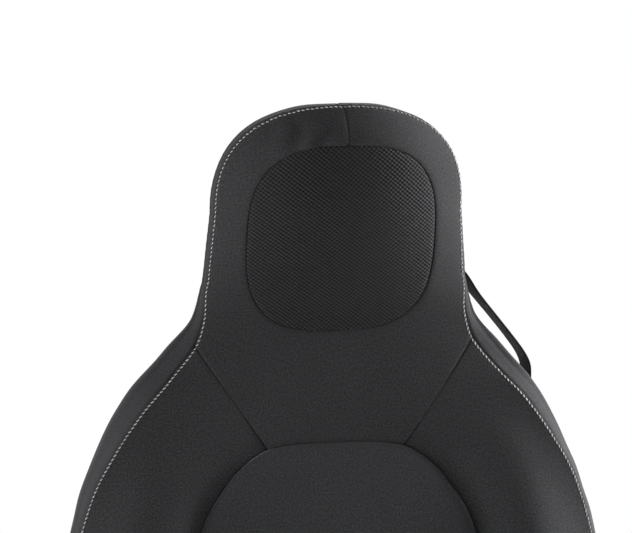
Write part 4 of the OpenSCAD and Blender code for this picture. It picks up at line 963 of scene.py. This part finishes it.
SEAT_RIGHT = resample(seat_rim(up_and_over(200, 200)), 1.0)
SEAT_LINE = resample(both_halves(SEAT_RIGHT), LINE_STEP, True)
SEAT_PANEL_HALF = spline([
    (SEAT_PANEL_W * .46, CUSHION_REAR), (SEAT_PANEL_W * .47, 40), (SEAT_PANEL_W * .5, -60),
    (SEAT_PANEL_W * .5, -180), (SEAT_PANEL_W * .49, -240), (SEAT_PANEL_W * .47, FRONT_Y + 0.5),
], 16)
SEAT_PANEL_HALF = SEAT_PANEL_HALF[SEAT_PANEL_HALF[:, 1] <= CUSHION_REAR]
SEAT_SEAM = resample(SEAT_PANEL_HALF, LINE_STEP)
SEAT_SEAM_LEFT = SEAT_SEAM * [-1, 1]
SEAT_RUN_Y, SEAT_RUN_LENGTH = along_surface(seat_top, FRONT_Y, CUSHION_REAR)


def seat_drop(p, panel):
    """How far each panel of the cushion lies under the plain form, with its rolled edges."""
    edge, along = nearest(p, SEAT_LINE, True)
    seam = np.minimum(nearest(p, SEAT_SEAM)[0], nearest(p, SEAT_SEAM_LEFT)[0])
    drop = roll(edge, 7.0, 3.0) + pucker(edge, along, 0.30, 9)
    if panel == "centre":
        drop = drop + roll(seam, 12, 6.5) - 1.8 * (1 - np.exp(-seam / 40))
    else:
        drop = drop + roll(seam, 9, 6.0) + 4.0 * np.exp(-(seam / 20) ** 2)
    return drop + (0.45 * ripple(p, 95, 21) + 0.12 * ripple(p, 30, 22)) * np.minimum(1, edge / 20)


def seat_points(p, panel, lift=0.0):
    x, y = p[:, 0], p[:, 1]
    h = 0.5
    limit = seat_half(y) - h
    xs = np.clip(x, -limit, limit)
    ys = np.clip(y, FRONT_Y + 1.5, CUSHION_REAR - 1.5)
    dx = (seat_top(xs + h, y) - seat_top(xs - h, y)) / (2 * h)
    dy = (seat_top(x, ys + h) - seat_top(x, ys - h)) / (2 * h)
    normal = unit(np.stack([-dx, -dy, np.ones_like(dx)], -1))
    drop = seat_drop(p, panel)
    return (np.stack([x, y, seat_top(x, y)], -1) + normal * (lift - drop)[:, None]) * MM


def seat_panels():
    p, tris = plan_mesh(SEAT_LINE, [(SEAT_SEAM, False), (SEAT_SEAM_LEFT, False)], 7.0)
    middle = p[tris].mean(1)
    (rear, _), (ahead, _) = SEAT_SEAM[[0, -1]]
    area = np.concatenate([
        [[rear, 400]], SEAT_SEAM, [[ahead, FRONT_Y - 20], [-ahead, FRONT_Y - 20]],
        mirror(SEAT_SEAM), [[-rear, 400]],
    ])
    centre = inside(middle, area)
    left = middle[:, 0] < 0
    sew(p, tris, seat_points, cloth_map(p, SEAT_RUN_Y, SEAT_RUN_LENGTH), (
        ("centre", centre, "seat_centre_cloth", "seat_centre_panel", CENTRE_CLOTH),
        ("side", ~centre & left, "seat_bolster_cloth_left", "seat_bolster_left", CHARCOAL),
        ("side", ~centre & ~left, "seat_bolster_cloth_right", "seat_bolster_right", CHARCOAL),
    ))


def seat_skirt():
    """The band round the cushion's sides and front, between its edge seam and its hem."""
    line = both_halves(resample(SEAT_RIGHT, SKIRT_STEP))
    v = np.linspace(0, 1, SKIRT_COLS)
    low, high = seat_hem(line[:, 1]), seat_top(line[:, 0], line[:, 1])
    z = mix(high[:, None], low[:, None], v[None])
    points = np.stack([line[:, :1] + 0 * z, line[:, 1:] + 0 * z, z], -1)
    normal, across, along, flat = measured(points, SEAT_MIDDLE)
    drop = roll(across, 7, 3.0) + roll(across[:, -1:] - across, 9, 4.0)
    drop = drop - 2.2 * np.sin(math.pi * v)[None] ** 0.8
    drop = drop + 0.35 * ripple(flat, 60, 31).reshape(across.shape)
    drop = drop + pucker(across, along, 0.28, 10)
    points = points - normal * drop[..., None]
    tris = grid_tris(*points.shape[:2])
    points = points.reshape(-1, 3) * MM
    made = skin("seat_skirt_cloth", points, tris, flat * MM, GUSSET_CLOTH,
                outward=(points - [0, SEAT_MIDDLE[1] * MM, 0]) * [1, 1, 0])
    stands_for(made, "seat_skirt")


def seat_stitches():
    """Topstitching just inside the cushion's edge seam, over the panels that it crosses."""
    inner = beside(resample(both_halves(SEAT_RIGHT), PATH_STEP), -2.5)
    inner = inner[inner[:, 1] < CUSHION_REAR - 4]
    middle = (np.abs(inner[:, :1]) < SEAT_SEAM[-1, 0]) & (inner[:, 1:] < 0)
    stitches("seat_topstitching", "seat_base", *(
        np.where(middle, seat_points(inner, "centre", lift), seat_points(inner, "side", lift))
        for lift in (0.0, 4.0)
    ))


# ---------------- the webbing strap

STRAP_W, STRAP_T = 25.0, 2.4
STRAP_OFF = STRAP_T / 2 + 0.9
STRAP_TOP = ((124, 8, 30, 0), (137, 6, 30, 0), (150, 5, 29, .3))
STRAP_BOW = ((.106, 7, 163, 24), (.237, 9, 175, 18), (.404, 4, 196, 9), (.603, -5, 217.5, 6),
             (.791, -14, 238, 6), (.948, -21, 257, 8), (1.022, -26, 271, 12), (1.03, -29, 285, 15))
STRAP_LOW = ((298, -31, 18, .4), (308, -32, 18, 0), (320, -33, 18, 0))


def strap():
    """Belt guide webbing with a rounded selvage, in the CAD strap's place."""
    def held(t, w, turn, off):
        return (float(flank_x(t, w)) + STRAP_OFF + off, w, BACK_H - t, turn)
    (t_high, w_high), (t_low, w_low) = STRAP_TOP[-1][:2], STRAP_LOW[0][:2]
    a, b = float(flank_x(t_high, w_high)), float(flank_x(t_low, w_low))
    knots = [held(*k) for k in STRAP_TOP]
    knots += [(mix(a, b, s), w, BACK_H - t, turn) for s, w, t, turn in STRAP_BOW]
    knots += [held(*k) for k in STRAP_LOW]
    line = resample(spline(knots, 12), 1.6)
    centre, turn = line[:, :3], np.radians(line[:, 3])
    wide = np.stack([np.sin(turn), np.cos(turn), 0 * turn], -1)
    face = unit(np.cross(wide, unit(np.gradient(centre, axis=0))))
    q = np.linspace(-1, 1, 15)
    half_t = STRAP_T / 2 * (1 - 0.10 * np.cos(q * math.pi * 3.5))
    half_t = half_t * np.sqrt(np.maximum(0.0, 1 - np.abs(q) ** 9))
    top = np.stack([q * STRAP_W / 2, half_t * 0.94], 1)
    loop = np.concatenate([top, (top * [1, -1])[::-1][1:-1]])
    points = centre[:, None] + wide[:, None] * loop[None, :, :1] + face[:, None] * loop[None, :, 1:]
    run = run_along(centre)
    cloth = np.stack(np.broadcast_arrays(loop[None, :, 0], run[:, None]), -1) * MM
    made = object_of("guide_webbing", in_world(points.reshape(-1, 3)), tube_faces(*points.shape[:2]),
                     WEBBING, cloth.reshape(-1, 2))
    work = bmesh.new()
    work.from_mesh(made.data)
    bmesh.ops.recalc_face_normals(work, faces=work.faces)
    work.to_mesh(made.data)
    work.free()
    stands_for(made, "belt_guide_strap")


# ---------------- rigid pieces and foams

WELD, FLAT_TO, SHARP_FROM, SMOOTH_TO = 2e-6, math.radians(0.6), math.radians(32), math.radians(42)


def cad_work(node):
    """A CAD node's mesh, welded, in world metres, to work on."""
    source = frame["nodes"][node]
    work = bmesh.new()
    work.from_mesh(source.data)
    bmesh.ops.transform(work, matrix=source.matrix_world, verts=work.verts)
    bmesh.ops.remove_doubles(work, verts=work.verts, dist=WELD)
    return work


def mesh_from(work, name):
    mesh = bpy.data.meshes.new(name)
    work.to_mesh(mesh)
    work.free()
    return mesh


def finished(node, material, width, segments):
    """A rigid CAD node with its edges broken, in place of the sharp one."""
    work = cad_work(node)
    bmesh.ops.dissolve_limit(work, angle_limit=FLAT_TO, verts=work.verts, edges=work.edges)
    for face in work.faces:
        face.smooth = True
    sharp = [e for e in work.edges if len(e.link_faces) == 2 and e.calc_face_angle(0) > SHARP_FROM]
    bmesh.ops.bevel(work, geom=sharp, offset=width * MM, segments=segments, profile=0.5,
                    affect="EDGES", clamp_overlap=True)
    for edge in work.edges:
        edge.smooth = len(edge.link_faces) == 2 and edge.calc_face_angle(0) < SMOOTH_TO
    bmesh.ops.triangulate(work, faces=[f for f in work.faces if len(f.verts) > 4])
    mesh = mesh_from(work, f"{node}_finished")
    mesh.materials.append(material)
    stands_for(linked(f"{node}_finished", mesh), node)


def back_sunk(points, normals):
    """How far the covers of the front sink at the foam's points, and how far it faces them."""
    u, v = points[:, 1] - AXIS_Y, points[:, 2] - AXIS_Z
    plan = np.stack([points[:, 0], u * math.sin(LEAN) + v * math.cos(LEAN)], 1)
    gaps = front_gaps(plan)
    drop = [front_drop(plan, panel, gaps) for panel in ("head", "centre", "knit", "shoulder")]
    facing = normals[:, 2] * math.sin(LEAN) - normals[:, 1] * math.cos(LEAN)
    return np.maximum.reduce(drop), facing


def seat_sunk(points, normals):
    drop = [seat_drop(points[:, :2], panel) for panel in ("centre", "side")]
    return np.maximum(*drop), normals[:, 2]


CORE_STEPS = (
    ("REMESH", {"mode": "VOXEL", "voxel_size": 6.0 * MM}),
    ("SMOOTH", {"factor": 0.5, "iterations": 8}),
    ("DISPLACE", {"strength": -1.5 * MM, "mid_level": 0.0}),
)
CORE_CLEAR = 1.0


def core(node, name, sunk):
    """The foam under the covers, rounded off and drawn in a little."""
    made = linked(name, mesh_from(cad_work(node), name))
    for kind, settings in CORE_STEPS:
        tool = made.modifiers.new(kind.lower(), kind)
        for key, value in settings.items():
            setattr(tool, key, value)
    view = bpy.context.evaluated_depsgraph_get()
    solved = bpy.data.meshes.new_from_object(made.evaluated_get(view))
    made.modifiers.clear()
    made.data = solved
    solved.name = name
    points, normals = np.empty((2, len(solved.vertices), 3))
    solved.vertices.foreach_get("co", points.ravel())
    solved.vertex_normals.foreach_get("vector", normals.ravel())
    drop, facing = sunk(points / MM, normals)
    move = np.clip(facing, 0, 1) * (np.maximum(drop, 0) + CORE_CLEAR) * MM
    solved.vertices.foreach_set("co", (points - normals * move[:, None]).ravel())
    solved.materials.clear()
    solved.materials.append(FOAM)
    solved.polygons.foreach_set("use_smooth", [True] * len(solved.polygons))
    stands_for(made, node)


def both(*names):
    return tuple(f"{name}_{side}" for name in names for side in ("left", "right"))


RIGID = (
    (PAINT, 0.9, *both("foot_front", "foot_rear")),
    (PAINT, 0.7, *both("base_side", "back_side")),
    (PAINT, 0.6, "head_hoop", "head_plate"),
    (PAINT, 0.5, "slide_bar", "front_cross_tube", "rear_cross_tube", "lower_cross_tube",
     "upper_cross_tube"),
    (PHOSPHATE, 0.45, *both("rail_lower")),
    (PHOSPHATE, 0.4, "seat_pan"),
    (ZINC, 0.5, *both("rail_upper")),
    (ZINC, 0.35, "foot_rivets", "slider_bolts", "slider_nuts", "bar_pivots"),
    (YELLOW_ZINC, 1.2, *both("recliner_base", "recliner_back")),
    (BRIGHT, 0.35, "slide_latches", "release_shaft", "shaft_clip"),
    (OXIDE, 0.6, "valance_screws", "board_screws"),
    (PLASTIC, 1.1, *both("valance")),
    (PLASTIC, 2.6, "recline_lever"),
    (SMOOTH_PLASTIC, 0.7, "lever_cap"),
    (SMOOTH_PLASTIC, 0.5, "strap_anchor", "strap_stud"),
    (ACETAL, 0.6, "rail_glides"),
    (RUBBER, 1.0, "slide_bar_grip"),
)


def rigid_pieces():
    for material, width, *nodes in RIGID:
        for node in nodes:
            finished(node, material, width, 4 if width > 1 else 2)
    springs = frame["nodes"]["spring_mat"].data
    springs.materials.clear()
    springs.materials.append(ZINC)


# ---------------- studio

WORLD_LIGHT = 0.13
LAMPS = (
    ("key_right", (2.3, 0.35, 1.2), (0.0, 0.1, 0.85), (1.0, 1.6), 122),
    ("high_right", (1.5, -0.45, 2.2), (0.0, 0.1, 0.75), (0.5, 0.5), 6),
    ("rim_left", (-2.3, -0.3, 0.72), (0.0, 0.1, 0.85), (1.0, 1.2), 46),
    ("fill_rear", (0.6, 3.2, 2.0), (0.0, 0.2, 0.6), (2.2, 1.6), 18),
)
FLOOR_RINGS, FLOOR_SIDES = (0.8, 1.6, 2.6), 96


def seen(n):
    """1 for what the camera, mirrors and glass see, 0 for the light on other things."""
    path = n.add("LightPath").outputs
    share = n.math("MAXIMUM", path["Is Camera Ray"], path["Is Glossy Ray"])
    return n.math("MAXIMUM", share, path["Is Transmission Ray"])


def mixed(n, share, a, b):
    return n.add("MixShader", _0=share, _1=a.outputs[0], _2=b.outputs[0]).outputs[0]


def make_world():
    """White to look at, and a faint cool light on everything."""
    world = bpy.data.worlds.new("studio")
    bpy.context.scene.world = world
    world.use_nodes = True
    n = Nodes(world.node_tree)
    light = n.add("Background", _0=(0.93, 0.96, 1, 1), _1=WORLD_LIGHT)
    white = n.add("Background", _0=(1, 1, 1, 1))
    n.add("OutputWorld", _0=mixed(n, seen(n), light, white))


def make_floor():
    """A pale disc that fades to plain white."""
    verts = [(0, 0, 0)] + [
        (r * math.cos(2 * math.pi * i / FLOOR_SIDES), r * math.sin(2 * math.pi * i / FLOOR_SIDES), 0)
        for r in FLOOR_RINGS for i in range(FLOOR_SIDES)
    ]
    turns = [(i, (i + 1) % FLOOR_SIDES) for i in range(FLOOR_SIDES)]
    faces = [(0, 1 + i, 1 + j) for i, j in turns]
    for base in (1, 1 + FLOOR_SIDES):
        outer = base + FLOOR_SIDES
        faces += [(base + i, outer + i, outer + j, base + j) for i, j in turns]
    mat = bpy.data.materials.new("pale_floor")
    mat.use_nodes = True
    n = Nodes(mat.node_tree)
    where = n.add("TexCoord").outputs["Object"]
    far = n.add("VectorMath", {"operation": "LENGTH"}, _0=where).outputs["Value"]
    fade = n.add("MapRange", {"interpolation_type": "SMOOTHSTEP"}, _0=far, _1=0.7, _2=1.9).outputs[0]
    matt, glow = n.add("BsdfDiffuse", _0=(0.86, 0.86, 0.86, 1)), n.add("Emission")
    n.add("OutputMaterial", _0=mixed(n, n.times(fade, seen(n)), matt, glow))
    floor = object_of("floor", verts, faces, mat, smooth=False)


def make_lamps():
    for name, place, aim, size, power in LAMPS:
        data = bpy.data.lights.new(name, "AREA")
        data.shape = "RECTANGLE"
        data.size, data.size_y = size
        data.energy = power
        lamp = linked(name, data)
        lamp.location = place
        lamp.rotation_euler = (Vector(aim) - Vector(place)).to_track_quat("-Z", "Y").to_euler()


make_world()
make_floor()
make_lamps()
front_panels()
for side in (-1, 1):
    gusset(side)
back_stitches()
board_panel()
seat_panels()
seat_skirt()
seat_stitches()
strap()
core("back_foam", "back_core", back_sunk)
core("seat_foam", "seat_core", seat_sunk)
rigid_pieces()
